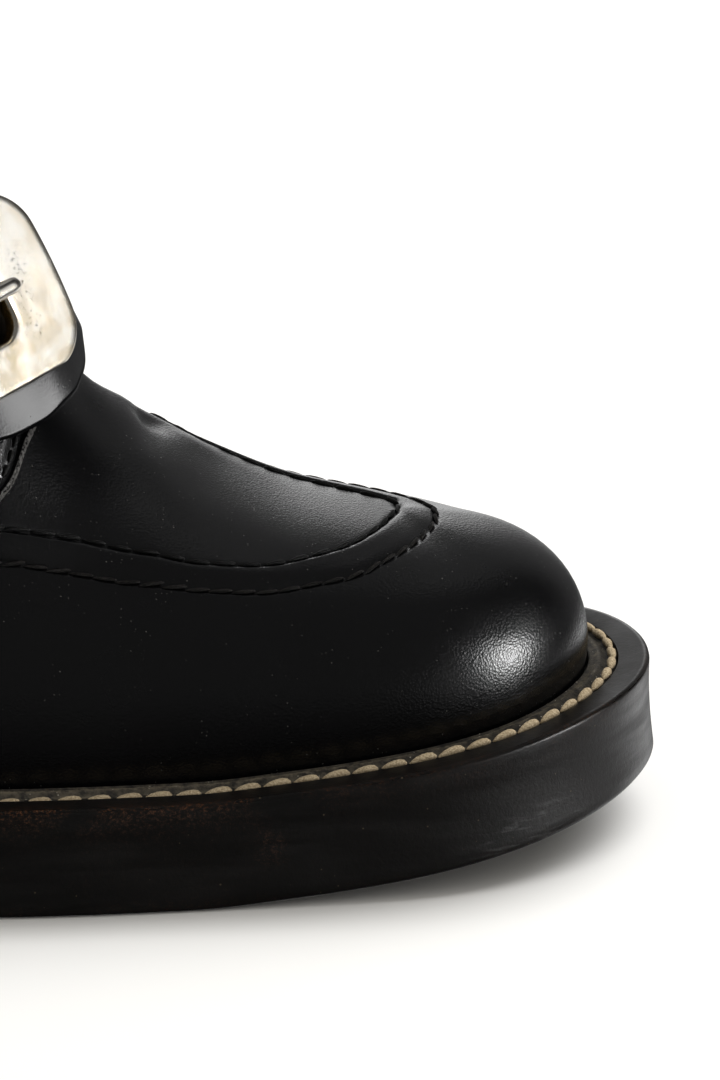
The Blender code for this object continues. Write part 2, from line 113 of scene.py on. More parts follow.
# Point of the sole's outline; turn runs from the tip (0) to the back of the heel (1)
def outlineAt(turn, side, inset=0.0):
    turn = np.asarray(turn, float)
    widths = np.asarray(halfWidths[side])
    count = len(widths) + 1
    angles = np.arange(1, count) * math.pi / count
    y = np.zeros_like(turn)
    dy = np.zeros_like(turn)
    for k in range(1, count):
        weight = 2.0 / count * float(np.sum(widths * np.sin(k * angles)))
        y = y + weight * np.sin(k * math.pi * turn)
        dy = dy + weight * k * np.cos(k * math.pi * turn)
    half = form["soleLength"] / 2
    behind = half * (1 - np.cos(math.pi * turn))
    dBehind = half * np.sin(math.pi * turn)
    size = np.hypot(dBehind, dy)
    return behind + inset * dy / size, side * (y - inset * dBehind / size)


def marginAt(turn):
    return 1 - (1 - form["heelMargin"]) * smoothStep(turn, form["marginFrom"], form["marginTo"])


def underAt(behind):
    return curveAt(soleSide, "under", behind)


def rimAt(behind):
    return curveAt(soleSide, "rim", behind)


def recessAt(behind):
    return rimAt(behind) - form["recessDepth"]


def anchorAt(turn):
    behind = form["soleLength"] / 2 * (1 - np.cos(math.pi * np.asarray(turn, float)))
    ahead = form["soleLength"] - behind
    toeSpan = form["toeReach"] - form["toeCentre"]
    heelSpan = form["heelReach"] - form["heelCentre"]
    toe = form["toeCentre"] + toeSpan * (behind / form["toeReach"]) ** (form["toeReach"] / toeSpan)
    heelShare = (ahead / form["heelReach"]) ** (form["heelReach"] / heelSpan)
    heel = form["soleLength"] - form["heelCentre"] - heelSpan * heelShare
    return np.where(behind < form["toeReach"], toe, np.where(ahead < form["heelReach"], heel, behind))


# Millimetres of outline to a whole turn at this place
def paceAt(turn):
    return form["soleLength"] / 2 * math.pi * np.sin(math.pi * turn)


fiveTaps = ((-2, 1 / 9), (-1, 2 / 9), (0, 3 / 9), (1, 2 / 9), (2, 1 / 9))


# Point of the last's skin, or of the skin grown outwards along its own form
def lastPoint(turn, side, rise, grow):
    station = anchorAt(turn)
    full = np.maximum(station, form["toeCentre"] + 1)
    slope = (curveAt(sections, "crestZ", full + 1) - curveAt(sections, "crestZ", full - 1)) / 2
    # half as steep over the toe
    slope = slope * (1 - 0.5 * np.exp((form["toeCentre"] - station) / form["toeEase"]))
    footBehind, footY = outlineAt(turn, side, form["featherInset"] * marginAt(turn) - grow)
    crestY = curveAt(sections, "crestY", station)
    crestZ = curveAt(sections, "crestZ", station) + grow * np.sqrt(1 + slope ** 2)
    columns = ("wallOut", "wallUp", "shoulderOut", "shoulderUp", "crown")
    wallOut, wallUp, shoulderOut, shoulderUp, crown = (curveAt(sections, c, station) for c in columns)
    t = np.asarray(rise, float)
    b1 = 4 * t * (1 - t) ** 3
    b2 = 6 * t * t * (1 - t) ** 2
    b3 = 4 * t ** 3 * (1 - t)
    out = (1 - t) ** 4 + b1 * wallOut + b2 * shoulderOut + b3 * crown
    up = b1 * wallUp + b2 * shoulderUp + b3 + t ** 4
    behind = station + (footBehind - station) * out
    footZ = form["gap"]
    for k, share in fiveTaps:
        footZ = footZ + share * recessAt(np.clip(footBehind + k * form["footEven"], 0, form["soleLength"]))
    topZ = crestZ + slope * (behind - station)
    return np.stack([behind, crestY + (footY - crestY) * out, footZ + (topZ - footZ) * up], axis=-1)


# The same with the side evened out where the instep starts to climb
def upperPoint(turn, side, rise, grow=0.0):
    turn, rise = np.broadcast_arrays(np.asarray(turn, float), np.asarray(rise, float))
    window = smoothStep(turn, *form["evenFrom"]) * (1 - smoothStep(turn, *form["evenTo"]))
    step = form["evenStep"] * window * (1 - smoothStep(rise, *form["evenRise"]))
    return sum(lastPoint(turn + k * step, side, rise, grow) * share for k, share in fiveTaps)


fineSteps = np.linspace(0, 1, 1001)


def turnOf(station):
    return np.interp(station, anchorAt(fineSteps), fineSteps)


# Rise at which the wall stops: the crest in front, the collar's edge behind
def topRise(turn, side):
    if float(anchorAt(turn)) <= form["throat"]:
        return 1.0
    points = upperPoint(np.full_like(fineSteps, turn), side, fineSteps)
    table = {
        "behind": (form["throat"],) + collarLine["behind"],
        "height": (float(curveAt(sections, "crestZ", form["throat"])),) + collarLine["height"],
    }
    over = points[:, 2] - curveAt(table, "height", points[:, 0])
    if over[-1] <= 0:
        return 1.0
    k = int(np.argmax(over > 0))
    share = over[k - 1] / (over[k - 1] - over[k])
    return float(fineSteps[k - 1] + (fineSteps[k] - fineSteps[k - 1]) * share)


middleY = float(outlineAt(fineSteps, -1)[1].min() + outlineAt(fineSteps, 1)[1].max()) / 2
collarTurns = np.unique(np.concatenate([np.linspace(0, 1, 401), [float(turnOf(form["throat"]))]]))
collarRises = {side: np.array([topRise(t, side) for t in collarTurns]) for side in (-1, 1)}


def topAt(turn, side):
    return np.interp(turn, collarTurns, collarRises[side])


# From millimetres on the last to metres in the frame
def place(points):
    points = np.asarray(points, float)
    x = form["soleLength"] / 2 - points[..., 0]
    return np.stack([x, points[..., 1] - middleY, points[..., 2]], axis=-1) * mm


# Outward direction of the upper's skin, on the last
def skinNormal(turn, side, rise):
    step = 0.0006
    turn = np.asarray(turn, float)
    rise = np.asarray(rise, float)
    ahead, back = np.clip(turn + step, 0, 1), np.clip(turn - step, 0, 1)
    along = upperPoint(ahead, side, rise) - upperPoint(back, side, rise)
    upwards = upperPoint(turn, side, rise + step) - upperPoint(turn, side, rise - step)
    normal = np.cross(along, upwards) * -side
    return normal / np.maximum(np.linalg.norm(normal, axis=-1, keepdims=True), 1e-9)


def frameDirection(vectors):
    return np.asarray(vectors) * np.array([-1.0, 1.0, 1.0])


print("form ready, middle at y", round(middleY, 2), "mm")


# Mesh helpers
def unit(vectors):
    return vectors / np.linalg.norm(vectors, axis=-1, keepdims=True)


def circle(sides):
    return np.arange(sides) * 2 * math.pi / sides


def gridFaces(rows, columns, first=0, wrap=False):
    across = columns if wrap else columns - 1
    i, j = np.meshgrid(np.arange(rows - 1), np.arange(across), indexing="ij")
    k = (j + 1) % columns
    quads = [i * columns + j, (i + 1) * columns + j, (i + 1) * columns + k, i * columns + k]
    return first + np.stack(quads, axis=-1).reshape(-1, 4)


# Faces of a row of rings with both ends closed
def tubeFaces(rings, sides):
    faces = gridFaces(rings, sides, wrap=True).tolist()
    return faces + [list(range(sides)), list(range((rings - 1) * sides, rings * sides))]


# Faces of a closed shell between two grids of the same shape, listed one after the other;
# a joined shell has no wall along its last column, where its mirror half goes on
def shellFaces(rows, columns, joined=False):
    size = rows * columns
    ids = np.arange(size).reshape(rows, columns)
    loop = np.concatenate([ids[0, :-1], ids[:-1, -1], ids[-1, :0:-1], ids[:0:-1, 0]])
    following = np.roll(loop, -1)
    walls = np.stack([loop, following, following + size, loop + size], axis=-1)
    if joined:
        walls = np.delete(walls, np.arange(columns - 1, columns + rows - 2), axis=0)
    return np.concatenate([gridFaces(rows, columns), gridFaces(rows, columns, size)[:, ::-1], walls])


def meshPiece(name, points, faces, looks, marks=None, faceSlots=None, creaseDeg=40.0, merge=0.01):
    mesh = bpy.data.meshes.new(name)
    mesh.from_pydata(np.asarray(points).tolist(), [], [list(f) for f in faces])
    for look in looks:
        mesh.materials.append(look)
    if faceSlots is not None:
        mesh.polygons.foreach_set("material_index", np.asarray(faceSlots, np.int32))
    for mark, values in (marks or {}).items():
        layer = mesh.attributes.new(mark, "FLOAT", "POINT")
        layer.data.foreach_set("value", np.asarray(values, np.float32).ravel())
    solid = bmesh.new()
    solid.from_mesh(mesh)
    bmesh.ops.remove_doubles(solid, verts=solid.verts, dist=merge * mm)
    bmesh.ops.dissolve_degenerate(solid, edges=solid.edges, dist=merge * mm / 10)
    bmesh.ops.recalc_face_normals(solid, faces=solid.faces)
    openEdges = sum(1 for edge in solid.edges if len(edge.link_faces) != 2)
    solid.to_mesh(mesh)
    solid.free()
    mesh.shade_smooth()
    mesh.set_sharp_from_angle(angle=math.radians(creaseDeg))
    piece = bpy.data.objects.new(name, mesh)
    bpy.context.scene.collection.objects.link(piece)
    print("made", name, len(mesh.polygons), "faces, open edges", openEdges)
    return piece


def mount(piece, node=None):
    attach(piece, "root")
    if node:
        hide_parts(node)


# Shader helpers
def wire(tree, node, wires):
    for socket, value in wires.items():
        if isinstance(value, bpy.types.NodeSocket):
            tree.links.new(value, node.inputs[socket])
        else:
            node.inputs[socket].default_value = value
    return node


def addNode(tree, kind, wires=None, **settings):
    made = tree.nodes.new(kind)
    for setting, value in settings.items():
        setattr(made, setting, value)
    return wire(tree, made, wires or {})


def newLook(name):
    look = bpy.data.materials.new(name)
    look.use_nodes = True
    return look, look.node_tree, addNode(look.node_tree, "ShaderNodeTexCoord").outputs["Object"]


def finishLook(look, wires):
    wire(look.node_tree, look.node_tree.nodes["Principled BSDF"], wires)
    return look


def calc(tree, operation, first, second=0.0):
    return addNode(tree, "ShaderNodeMath", {0: first, 1: second}, operation=operation).outputs[0]


def times(tree, first, second):
    return calc(tree, "MULTIPLY", first, second)


def ease(tree, value, low, high, to=(0.0, 1.0)):
    wires = {"Value": value, "From Min": low, "From Max": high, "To Min": to[0], "To Max": to[1]}
    return addNode(tree, "ShaderNodeMapRange", wires, interpolation_type="SMOOTHSTEP").outputs["Result"]


def blendTone(tree, share, first, second):
    return addNode(tree, "ShaderNodeMix", {0: share, 6: first, 7: second}, data_type="RGBA").outputs[2]


def noise(tree, where, size, detail=3.0, rough=0.55, stretch=None):
    if stretch:
        where = addNode(tree, "ShaderNodeMapping", {"Vector": where, "Scale": stretch}).outputs[0]
    wires = {"Vector": where, "Scale": 1 / (size * mm), "Detail": detail, "Roughness": rough}
    return addNode(tree, "ShaderNodeTexNoise", wires).outputs["Fac"]


def cells(tree, where, size):
    return addNode(tree, "ShaderNodeTexVoronoi", {"Vector": where, "Scale": 1 / (size * mm)})


def mark(tree, name):
    return addNode(tree, "ShaderNodeAttribute", attribute_name=name).outputs["Fac"]


def bump(tree, height, depth, normal=None):
    wires = {"Height": height, "Distance": depth * mm, "Strength": 1.0}
    if normal:
        wires["Normal"] = normal
    return addNode(tree, "ShaderNodeBump", wires).outputs["Normal"]


# Scattered specks of dust: 1 on a speck and 0 beside it
def dustSpecks(tree, where, speck):
    grid = cells(tree, where, speck["spacing"])
    chance = addNode(tree, "ShaderNodeSeparateColor", {"Color": grid.outputs["Color"]}).outputs["Red"]
    reach = times(tree, chance, speck["radius"] / speck["spacing"])
    return calc(tree, "LESS_THAN", grid.outputs["Distance"], reach)


# The light worn tone is a painted highlight for the quarters' front edge
blackLeather = {
    "colour": (0.0016, 0.0016, 0.0018, 1), "worn": (0.17, 0.165, 0.16, 1), "dust": (0.10, 0.096, 0.086, 1),
    "roughness": (0.225, 0.275), "edgeHighlightRough": 0.25, "dustRough": 0.85, "sheen": 0.5,
    "grain": 0.42, "grainDepth": 0.040, "smoothGrain": 0.35, "fine": 0.22, "fineDepth": 0.006,
    "speck": {"spacing": 0.85, "radius": 0.12}, "speckShare": 0.8, "speckDrift": 0.35,
}


def makeBlackLeather():
    look, tree, where = newLook("blackLeather")
    pebbles = cells(tree, where, blackLeather["grain"]).outputs["Distance"]
    flat = ease(tree, mark(tree, "smooth"), 0.0, 1.0, (1.0, blackLeather["smoothGrain"]))
    pebbles = times(tree, pebbles, flat)
    fine = noise(tree, where, blackLeather["fine"], 2.0)
    # specks are shaken out of round before they are laid
    drift = addNode(tree, "ShaderNodeTexNoise", {"Vector": where, "Scale": 1 / (0.5 * mm), "Detail": 2.0})
    shake = {0: drift.outputs["Color"], "Scale": blackLeather["speckDrift"] * mm}
    jitter = addNode(tree, "ShaderNodeVectorMath", shake, operation="SCALE").outputs[0]
    uneven = addNode(tree, "ShaderNodeVectorMath", {0: where, 1: jitter}, operation="ADD").outputs[0]
    specks = dustSpecks(tree, uneven, blackLeather["speck"])
    specks = times(tree, specks, ease(tree, noise(tree, where, 6.0), 0.44, 0.66))
    # painted highlight: the quarters' front edge made lighter and rougher
    edgeHighlight = times(tree, mark(tree, "edgeHighlight"), ease(tree, noise(tree, where, 0.7), 0.36, 0.62))
    tone = blendTone(tree, edgeHighlight, blackLeather["colour"], blackLeather["worn"])
    tone = blendTone(tree, times(tree, specks, blackLeather["speckShare"]), tone, blackLeather["dust"])
    gloss = ease(tree, noise(tree, where, 14.0, 4.0), 0.3, 0.7, blackLeather["roughness"])
    gloss = calc(tree, "ADD", gloss, times(tree, edgeHighlight, blackLeather["edgeHighlightRough"]))
    gloss = calc(tree, "MAXIMUM", gloss, times(tree, specks, blackLeather["dustRough"]))
    coarse = bump(tree, pebbles, blackLeather["grainDepth"])
    return finishLook(look, {
        "Base Color": tone, "Roughness": gloss,
        "Specular IOR Level": ease(tree, mark(tree, "matt"), 0.0, 1.0, (blackLeather["sheen"], 0.0)),
        "Normal": bump(tree, fine, blackLeather["fineDepth"], coarse),
    })


soleEdge = {
    "colour": (0.0040, 0.0035, 0.0031, 1), "streak": (0.0058, 0.0051, 0.0046, 1),
    "rub": (0.115, 0.044, 0.017, 1), "fleck": (0.20, 0.15, 0.09, 1), "scuff": (0.085, 0.086, 0.088, 1),
    "roughness": (0.37, 0.52), "scuffRough": 0.2, "polish": 0.16, "sheen": 0.31,
    "grit": 0.06, "grain": 0.025, "streakDepth": 0.04,
    "speck": {"spacing": 2.2, "radius": 0.17}, "speckShare": 0.30,
}


def makeSoleEdge():
    look, tree, where = newLook("soleEdge")
    streaks = noise(tree, where, 22.0, 5.0, 0.6, (1, 1, 9))
    tone = blendTone(tree, ease(tree, streaks, 0.42, 0.72), soleEdge["colour"], soleEdge["streak"])
    flakes = ease(tree, noise(tree, where, 0.5, 5.0, 0.85, (0.8, 0.8, 1.1)), 0.50, 0.66)
    patches = ease(tree, noise(tree, where, 11.0), 0.36, 0.58)
    rub = times(tree, times(tree, mark(tree, "rub"), patches), flakes)
    tone = blendTone(tree, rub, tone, soleEdge["rub"])
    flecks = dustSpecks(tree, where, soleEdge["speck"])
    tone = blendTone(tree, times(tree, flecks, soleEdge["speckShare"]), tone, soleEdge["fleck"])
    drag = ease(tree, noise(tree, where, 3.5, 6.0, 0.7, (0.35, 0.35, 2.4)), 0.5, 0.66)
    scuff = times(tree, mark(tree, "scuff"), drag)
    tone = blendTone(tree, scuff, tone, soleEdge["scuff"])
    gloss = ease(tree, streaks, 0.3, 0.7, soleEdge["roughness"])
    gloss = calc(tree, "ADD", gloss, times(tree, scuff, soleEdge["scuffRough"]))
    gloss = calc(tree, "SUBTRACT", gloss, times(tree, mark(tree, "polish"), soleEdge["polish"]))
    gritty = bump(tree, noise(tree, where, 1.1, 4.0, 0.7), soleEdge["grit"])
    fine = bump(tree, noise(tree, where, 0.4, 2.0), soleEdge["grain"], gritty)
    return finishLook(look, {
        "Base Color": tone, "Roughness": gloss, "Specular IOR Level": soleEdge["sheen"],
        "Normal": bump(tree, streaks, soleEdge["streakDepth"], fine),
    })


weltLeather = {
    "colour": (0.012, 0.011, 0.010, 1), "dust": (0.160, 0.134, 0.092, 1), "fleck": (0.45, 0.41, 0.34, 1),
    "roughness": 0.72, "ridgeDepth": 0.22, "speck": {"spacing": 0.9, "radius": 0.16}, "speckShare": 0.6,
}


def makeWeltLeather():
    look, tree, where = newLook("weltLeather")
    dirt = times(tree, ease(tree, noise(tree, where, 1.6, 6.0, 0.75), 0.36, 0.64), mark(tree, "dust"))
    tone = blendTone(tree, dirt, weltLeather["colour"], weltLeather["dust"])
    specks = times(tree, dustSpecks(tree, where, weltLeather["speck"]), weltLeather["speckShare"])
    ridges = noise(tree, where, 0.9, 3.0, 0.6, (1.6, 1.6, 0.4))
    return finishLook(look, {
        "Base Color": blendTone(tree, specks, tone, weltLeather["fleck"]),
        "Roughness": weltLeather["roughness"], "Normal": bump(tree, ridges, weltLeather["ridgeDepth"]),
    })


threads = {
    "creamThread": {"colour": (0.50, 0.41, 0.275, 1), "shade": (0.27, 0.205, 0.125, 1),
                    "roughness": 0.8, "grime": 0.25},
    "blackThread": {"colour": (0.0040, 0.0038, 0.0036, 1), "shade": (0.0012, 0.0012, 0.0012, 1),
                    "roughness": 0.65, "grime": 0.2},
    "greyThread": {"colour": (0.012, 0.0105, 0.0095, 1), "shade": (0.0018, 0.0016, 0.0015, 1),
                   "roughness": 0.8, "grime": 0.45},
}
threadTwist = {"strand": 0.32, "depth": 0.16, "sheen": 0.25}


def makeThread(name):
    thread = threads[name]
    look, tree, where = newLook(name)
    strands = noise(tree, where, threadTwist["strand"], 2.0, 0.5)
    soil = ease(tree, noise(tree, where, 2.4, 4.0), 0.45, 0.75)
    tone = blendTone(tree, ease(tree, strands, 0.3, 0.7), thread["shade"], thread["colour"])
    return finishLook(look, {
        "Base Color": blendTone(tree, times(tree, soil, thread["grime"]), tone, thread["shade"]),
        "Roughness": thread["roughness"], "Specular IOR Level": threadTwist["sheen"],
        "Normal": bump(tree, strands, threadTwist["depth"]),
    })


liningLeather = {
    "colour": (0.36, 0.25, 0.15, 1), "worn": (0.24, 0.155, 0.09, 1), "roughness": (0.5, 0.68),
    "pores": 0.7, "poreDepth": 0.03,
}


def makeLining():
    look, tree, where = newLook("liningLeather")
    cloudy = noise(tree, where, 18.0, 5.0)
    pores = cells(tree, where, liningLeather["pores"]).outputs["Distance"]
    worn = ease(tree, cloudy, 0.35, 0.7)
    return finishLook(look, {
        "Base Color": blendTone(tree, worn, liningLeather["colour"], liningLeather["worn"]),
        "Roughness": ease(tree, cloudy, 0.3, 0.7, liningLeather["roughness"]),
        "Normal": bump(tree, pores, liningLeather["poreDepth"]),
    })


buckleMetal = {
    "colour": (0.95, 0.91, 0.83, 1), "warmTint": (0.68, 0.57, 0.40, 1), "pit": (0.09, 0.055, 0.03, 1),
    "brass": (0.42, 0.26, 0.08, 1), "roughness": (0.17, 0.25), "pitRough": 0.4, "film": 0.25, "depth": 0.05,
}


def makeBuckleMetal():
    look, tree, where = newLook("buckleMetal")
    film = ease(tree, noise(tree, where, 9.0, 5.0, 0.6), 0.4, 0.75)
    warmTint = times(tree, mark(tree, "warmTint"), ease(tree, noise(tree, where, 4.0, 5.0), 0.3, 0.65))
    cast = times(tree, film, buckleMetal["film"])
    tone = blendTone(tree, cast, buckleMetal["colour"], buckleMetal["warmTint"])
    tone = blendTone(tree, warmTint, tone, buckleMetal["warmTint"])
    tone = blendTone(tree, mark(tree, "brass"), tone, buckleMetal["brass"])
    spots = ease(tree, noise(tree, where, 0.55, 5.0, 0.7), 0.56, 0.64)
    pits = times(tree, spots, mark(tree, "tarnish"))
    gloss = ease(tree, film, 0.0, 1.0, buckleMetal["roughness"])
    brushed = noise(tree, where, 1.6, 3.0, 0.6, (1, 1, 5))
    sunk = calc(tree, "SUBTRACT", times(tree, brushed, 0.06), times(tree, pits, 0.5))
    return finishLook(look, {
        "Base Color": blendTone(tree, pits, tone, buckleMetal["pit"]), "Metallic": 1.0,
        "Roughness": calc(tree, "ADD", gloss, times(tree, pits, buckleMetal["pitRough"])),
        "Normal": bump(tree, sunk, buckleMetal["depth"]),
    })


leatherLook = makeBlackLeather()
soleLook = makeSoleEdge()
weltLook = makeWeltLeather()
creamThread, blackThread, greyThread = (makeThread(name) for name in threads)
liningLook = makeLining()
metalLook = makeBuckleMetal()
print("finishes ready")


# One stitch: pointed where it leaves the leather, blunt where it dives back in
stitchForm = {
    "along": (-1.0, -0.8, -0.45, 0.0, 0.45, 0.8, 1.0), "fat": (0.12, 0.42, 0.78, 0.97, 1.0, 0.80, 0.30),
    "sides": 8, "sag": 0.2, "least": 0.93, "most": 1.06,
}


# Geometry Nodes tree that lays one stitch after another along a path on the surface
def makeStitchTree():
    tree = bpy.data.node_groups.new("stitchRow", "GeometryNodeTree")
    kinds = (
        ("Path", "NodeSocketGeometry"), ("Stitch", "NodeSocketObject"), ("Pitch", "NodeSocketFloat"),
        ("Slant", "NodeSocketFloat"), ("Waver", "NodeSocketFloat"), ("Seed", "NodeSocketInt"),
        ("Thread", "NodeSocketMaterial"),
    )
    ids = {}
    for label, kind in kinds:
        ids[label] = tree.interface.new_socket(name=label, in_out="INPUT", socket_type=kind).identifier
    tree.interface.new_socket(name="Stitches", in_out="OUTPUT", socket_type="NodeSocketGeometry")
    given = addNode(tree, "NodeGroupInput").outputs
    curve = addNode(tree, "GeometryNodeMeshToCurve", {"Mesh": given["Path"]})
    spaced = addNode(
        tree, "GeometryNodeResampleCurve",
        {"Curve": curve.outputs[0], "Length": given["Pitch"]}, mode="LENGTH")
    tangent = addNode(tree, "GeometryNodeInputTangent").outputs[0]
    lean = addNode(tree, "GeometryNodeInputNamedAttribute", {"Name": "lean"}, data_type="FLOAT_VECTOR")
    ahead = addNode(tree, "FunctionNodeAlignRotationToVector", {"Vector": tangent}, axis="X")
    upright = addNode(
        tree, "FunctionNodeAlignRotationToVector",
        {"Rotation": ahead.outputs[0], "Vector": lean.outputs[0]}, axis="Z", pivot_axis="X")
    least = calc(tree, "SUBTRACT", given["Slant"], given["Waver"])
    most = calc(tree, "ADD", given["Slant"], given["Waver"])
    turned = addNode(
        tree, "FunctionNodeRandomValue", {2: least, 3: most, "Seed": given["Seed"]}, data_type="FLOAT")
    twist = addNode(tree, "ShaderNodeCombineXYZ", {"Z": turned.outputs[1]})
    euler = addNode(tree, "FunctionNodeEulerToRotation", {0: twist.outputs[0]})
    laid = addNode(
        tree, "FunctionNodeRotateRotation",
        {"Rotation": upright.outputs[0], "Rotate By": euler.outputs[0]}, rotation_space="LOCAL")
    size = addNode(
        tree, "FunctionNodeRandomValue",
        {2: stitchForm["least"], 3: stitchForm["most"], "Seed": given["Seed"]}, data_type="FLOAT")
    model = addNode(tree, "GeometryNodeObjectInfo", {"Object": given["Stitch"]})
    sewn = addNode(
        tree, "GeometryNodeInstanceOnPoints",
        {"Points": spaced.outputs[0], "Instance": model.outputs["Geometry"],
         "Rotation": laid.outputs[0], "Scale": size.outputs[1]})
    real = addNode(tree, "GeometryNodeRealizeInstances", {0: sewn.outputs[0]})
    smooth = addNode(tree, "GeometryNodeSetShadeSmooth", {0: real.outputs[0]})
    finished = addNode(tree, "GeometryNodeSetMaterial", {0: smooth.outputs[0], "Material": given["Thread"]})
    addNode(tree, "NodeGroupOutput", {0: finished.outputs[0]})
    return tree, ids


stitchTree, stitchIds = makeStitchTree()


def stitchShape(sew):
    sides, height = stitchForm["sides"], sew["height"]
    rings = []
    for along, fat in zip(stitchForm["along"], stitchForm["fat"]):
        across = np.cos(circle(sides)) * fat * sew["width"] / 2
        lift = np.sin(circle(sides)) * fat * height / 2 + height * stitchForm["sag"] * (fat - 1)
        rings.append(np.stack([np.full(sides, along * sew["length"] / 2), across, lift], axis=-1))
    faces = tubeFaces(len(rings), sides)
    return meshPiece("stitchModel", np.concatenate(rings) * mm, faces, [], creaseDeg=180.0)


# A row of stitches as one piece, from paths that each have points and leans
def sewRow(name, paths, sew, thread, closed=False):
    edges = []
    first = 0
    for points, lean in paths:
        count = len(points)
        edges += [(first + i, first + i + 1) for i in range(count - 1)]
        if closed:
            edges.append((first + count - 1, first))
        first += count
    mesh = bpy.data.meshes.new(name + "Path")
    mesh.from_pydata(np.concatenate([points for points, lean in paths]).tolist(), edges, [])
    leans = np.concatenate([lean for points, lean in paths]).astype(np.float32)
    mesh.attributes.new("lean", "FLOAT_VECTOR", "POINT").data.foreach_set("vector", leans.ravel())
    path = bpy.data.objects.new(name + "Path", mesh)
    bpy.context.scene.collection.objects.link(path)
    stitch = stitchShape(sew)
    rule = path.modifiers.new("stitches", "NODES")
    rule.node_group = stitchTree
    settings = {
        "Stitch": stitch, "Pitch": sew["pitch"] * mm, "Slant": math.radians(sew["slantDeg"]),
        "Waver": math.radians(sew["waverDeg"]), "Seed": sew["seed"], "Thread": thread,
    }
    for label, value in settings.items():
        rule[stitchIds[label]] = value
    sewn = bpy.data.meshes.new_from_object(path.evaluated_get(bpy.context.evaluated_depsgraph_get()))
    sewn.name = name
    bpy.data.objects.remove(path)
    bpy.data.objects.remove(stitch)
    piece = bpy.data.objects.new(name, sewn)
    bpy.context.scene.collection.objects.link(piece)
    mount(piece)
    print("sewed", name, len(sewn.polygons), "faces")


# Path on the skin, lifted off it, with the way that the thread leans
def skinPath(turns, side, rises, lift):
    normal = skinNormal(turns, side, rises)
    return place(upperPoint(turns, side, rises) + normal * lift), frameDirection(normal)


# Upper: one hollow shell with the apron's raised band and the soft folds in its skin
apronTurns = (
    0.0, 0.05, 0.12, 0.167, 0.201, 0.218, 0.24, 0.268, 0.297,
    0.32, 0.341, 0.36, 0.379, 0.397, 0.414, 0.432, 0.449, 1.0)
apronBand = {
    -1: {
        "turn": apronTurns,
        "inner": (0.972, 0.971, 0.961, 0.944, 0.908, 0.876, 0.822, 0.738, 0.665,
                  0.608, 0.574, 0.550, 0.541, 0.538, 0.520, 0.492, 0.460, 0.42),
        "outer": (0.876, 0.872, 0.856, 0.826, 0.780, 0.748, 0.697, 0.622, 0.571,
                  0.528, 0.503, 0.483, 0.474, 0.473, 0.462, 0.440, 0.414, 0.36),
    },
    1: {
        "turn": apronTurns,
        "inner": (0.972, 0.970, 0.952, 0.930, 0.884, 0.878, 0.868, 0.855, 0.842,
                  0.836, 0.834, 0.826, 0.785, 0.700, 0.660, 0.580, 0.510, 0.42),
        "outer": (0.876, 0.871, 0.852, 0.818, 0.792, 0.784, 0.773, 0.760, 0.746,
                  0.733, 0.722, 0.705, 0.680, 0.640, 0.590, 0.520, 0.450, 0.36),
    },
    "toeHeight": 0.8, "height": {-1: 0.8, 1: 0.5}, "heightBy": 0.2,
    "profile": {
        "across": (-0.40, -0.16, 0.0, 0.13, 0.30, 0.50, 0.68, 0.78,
                   0.86, 0.92, 0.96, 0.99, 1.02, 1.07, 1.17, 1.28),
        "height": (0.0, -0.03, -0.36, 0.0, 0.42, 0.74, 0.95, 1.0,
                   0.95, 0.79, 0.50, 0.05, -0.45, -0.4, -0.08, 0.0),
    },
    "fadeFrom": 0.440, "fadeTo": 0.462,
}
# The band's levels run from below its outer line to above it, in shares of its width
upperShell = {
    "wall": 2.0, "turnSteps": 260, "lowLevels": 22, "bandLevels": 46, "highLevels": 28,
    "below": 0.5, "above": 1.4, "topShare": 0.9, "nearCrest": 0.9985,
}
# Soft folds, given one by one: side, path of (station, rise), depth (negative sinks) and half width; they
# fade between two rises
foldFade = (0.79, 0.95)
softFolds = (
    (-1, ((87.0, 1.0), (86.8, 0.92), (87.2, 0.84), (89.0, 0.76)), -0.95, 3.6),
    (-1, ((79.5, 1.0), (79.5, 0.92), (79.5, 0.86)), 0.28, 4.0),
    (1, ((87.0, 1.0), (87.2, 0.92), (88.5, 0.85)), -0.95, 3.6),
    (1, ((79.5, 1.0), (79.5, 0.92), (79.5, 0.86)), 0.28, 4.0),
)
# The leather is duller under the strap's front edge
strapShade = {"matt": 0.6, "reach": 8.0, "along": (-0.7, 0.7)}


def bandLines(turn, side):
    table = apronBand[side]
    return curveAt(table, "inner", turn, "turn"), curveAt(table, "outer", turn, "turn")


def bandHeight(turn, side, across):
    profile = curveAt(apronBand["profile"], "height", across, "across")
    toe = apronBand["toeHeight"]
    height = toe + (apronBand["height"][side] - toe) * smoothStep(turn, 0.0, apronBand["heightBy"])
    return profile * height * (1 - smoothStep(turn, apronBand["fadeFrom"], apronBand["fadeTo"]))


def levelRises(turn, side):
    inner, outer = (float(line) for line in bandLines(turn, side))
    top = float(topAt(turn, side))
    low = outer - upperShell["below"] * (inner - outer)
    high = outer + min(upperShell["above"] * (inner - outer), upperShell["topShare"] * (top - outer))
    lower = np.linspace(0, low, upperShell["lowLevels"], endpoint=False)
    band = np.linspace(low, high, upperShell["bandLevels"], endpoint=False)
    return np.concatenate([lower, band, np.linspace(high, top, upperShell["highLevels"])])


# Distance of each point to a path of points
def pathDistance(points, path):
    best = np.full(points.shape[:-1], np.inf)
    for a, b in zip(path[:-1], path[1:]):
        share = np.clip(((points - a) @ (b - a)) / np.dot(b - a, b - a), 0, 1)
        best = np.minimum(best, np.linalg.norm(points - a - share[..., None] * (b - a), axis=-1))
    return best


def strapAt(along, share, grow):
    front, back = (curveAt(strapLine, column, along, "along") for column in ("front", "back"))
    rises = (curveAt(strapLine, column, np.abs(along), "reach") for column in ("frontRise", "backRise"))
    frontRise, backRise = rises
    turn = turnOf(front + (back - front) * share)
    rise = frontRise + (backRise - frontRise) * share
    return np.where((along < 0)[..., None], upperPoint(turn, -1, rise, grow), upperPoint(turn, 1, rise, grow))


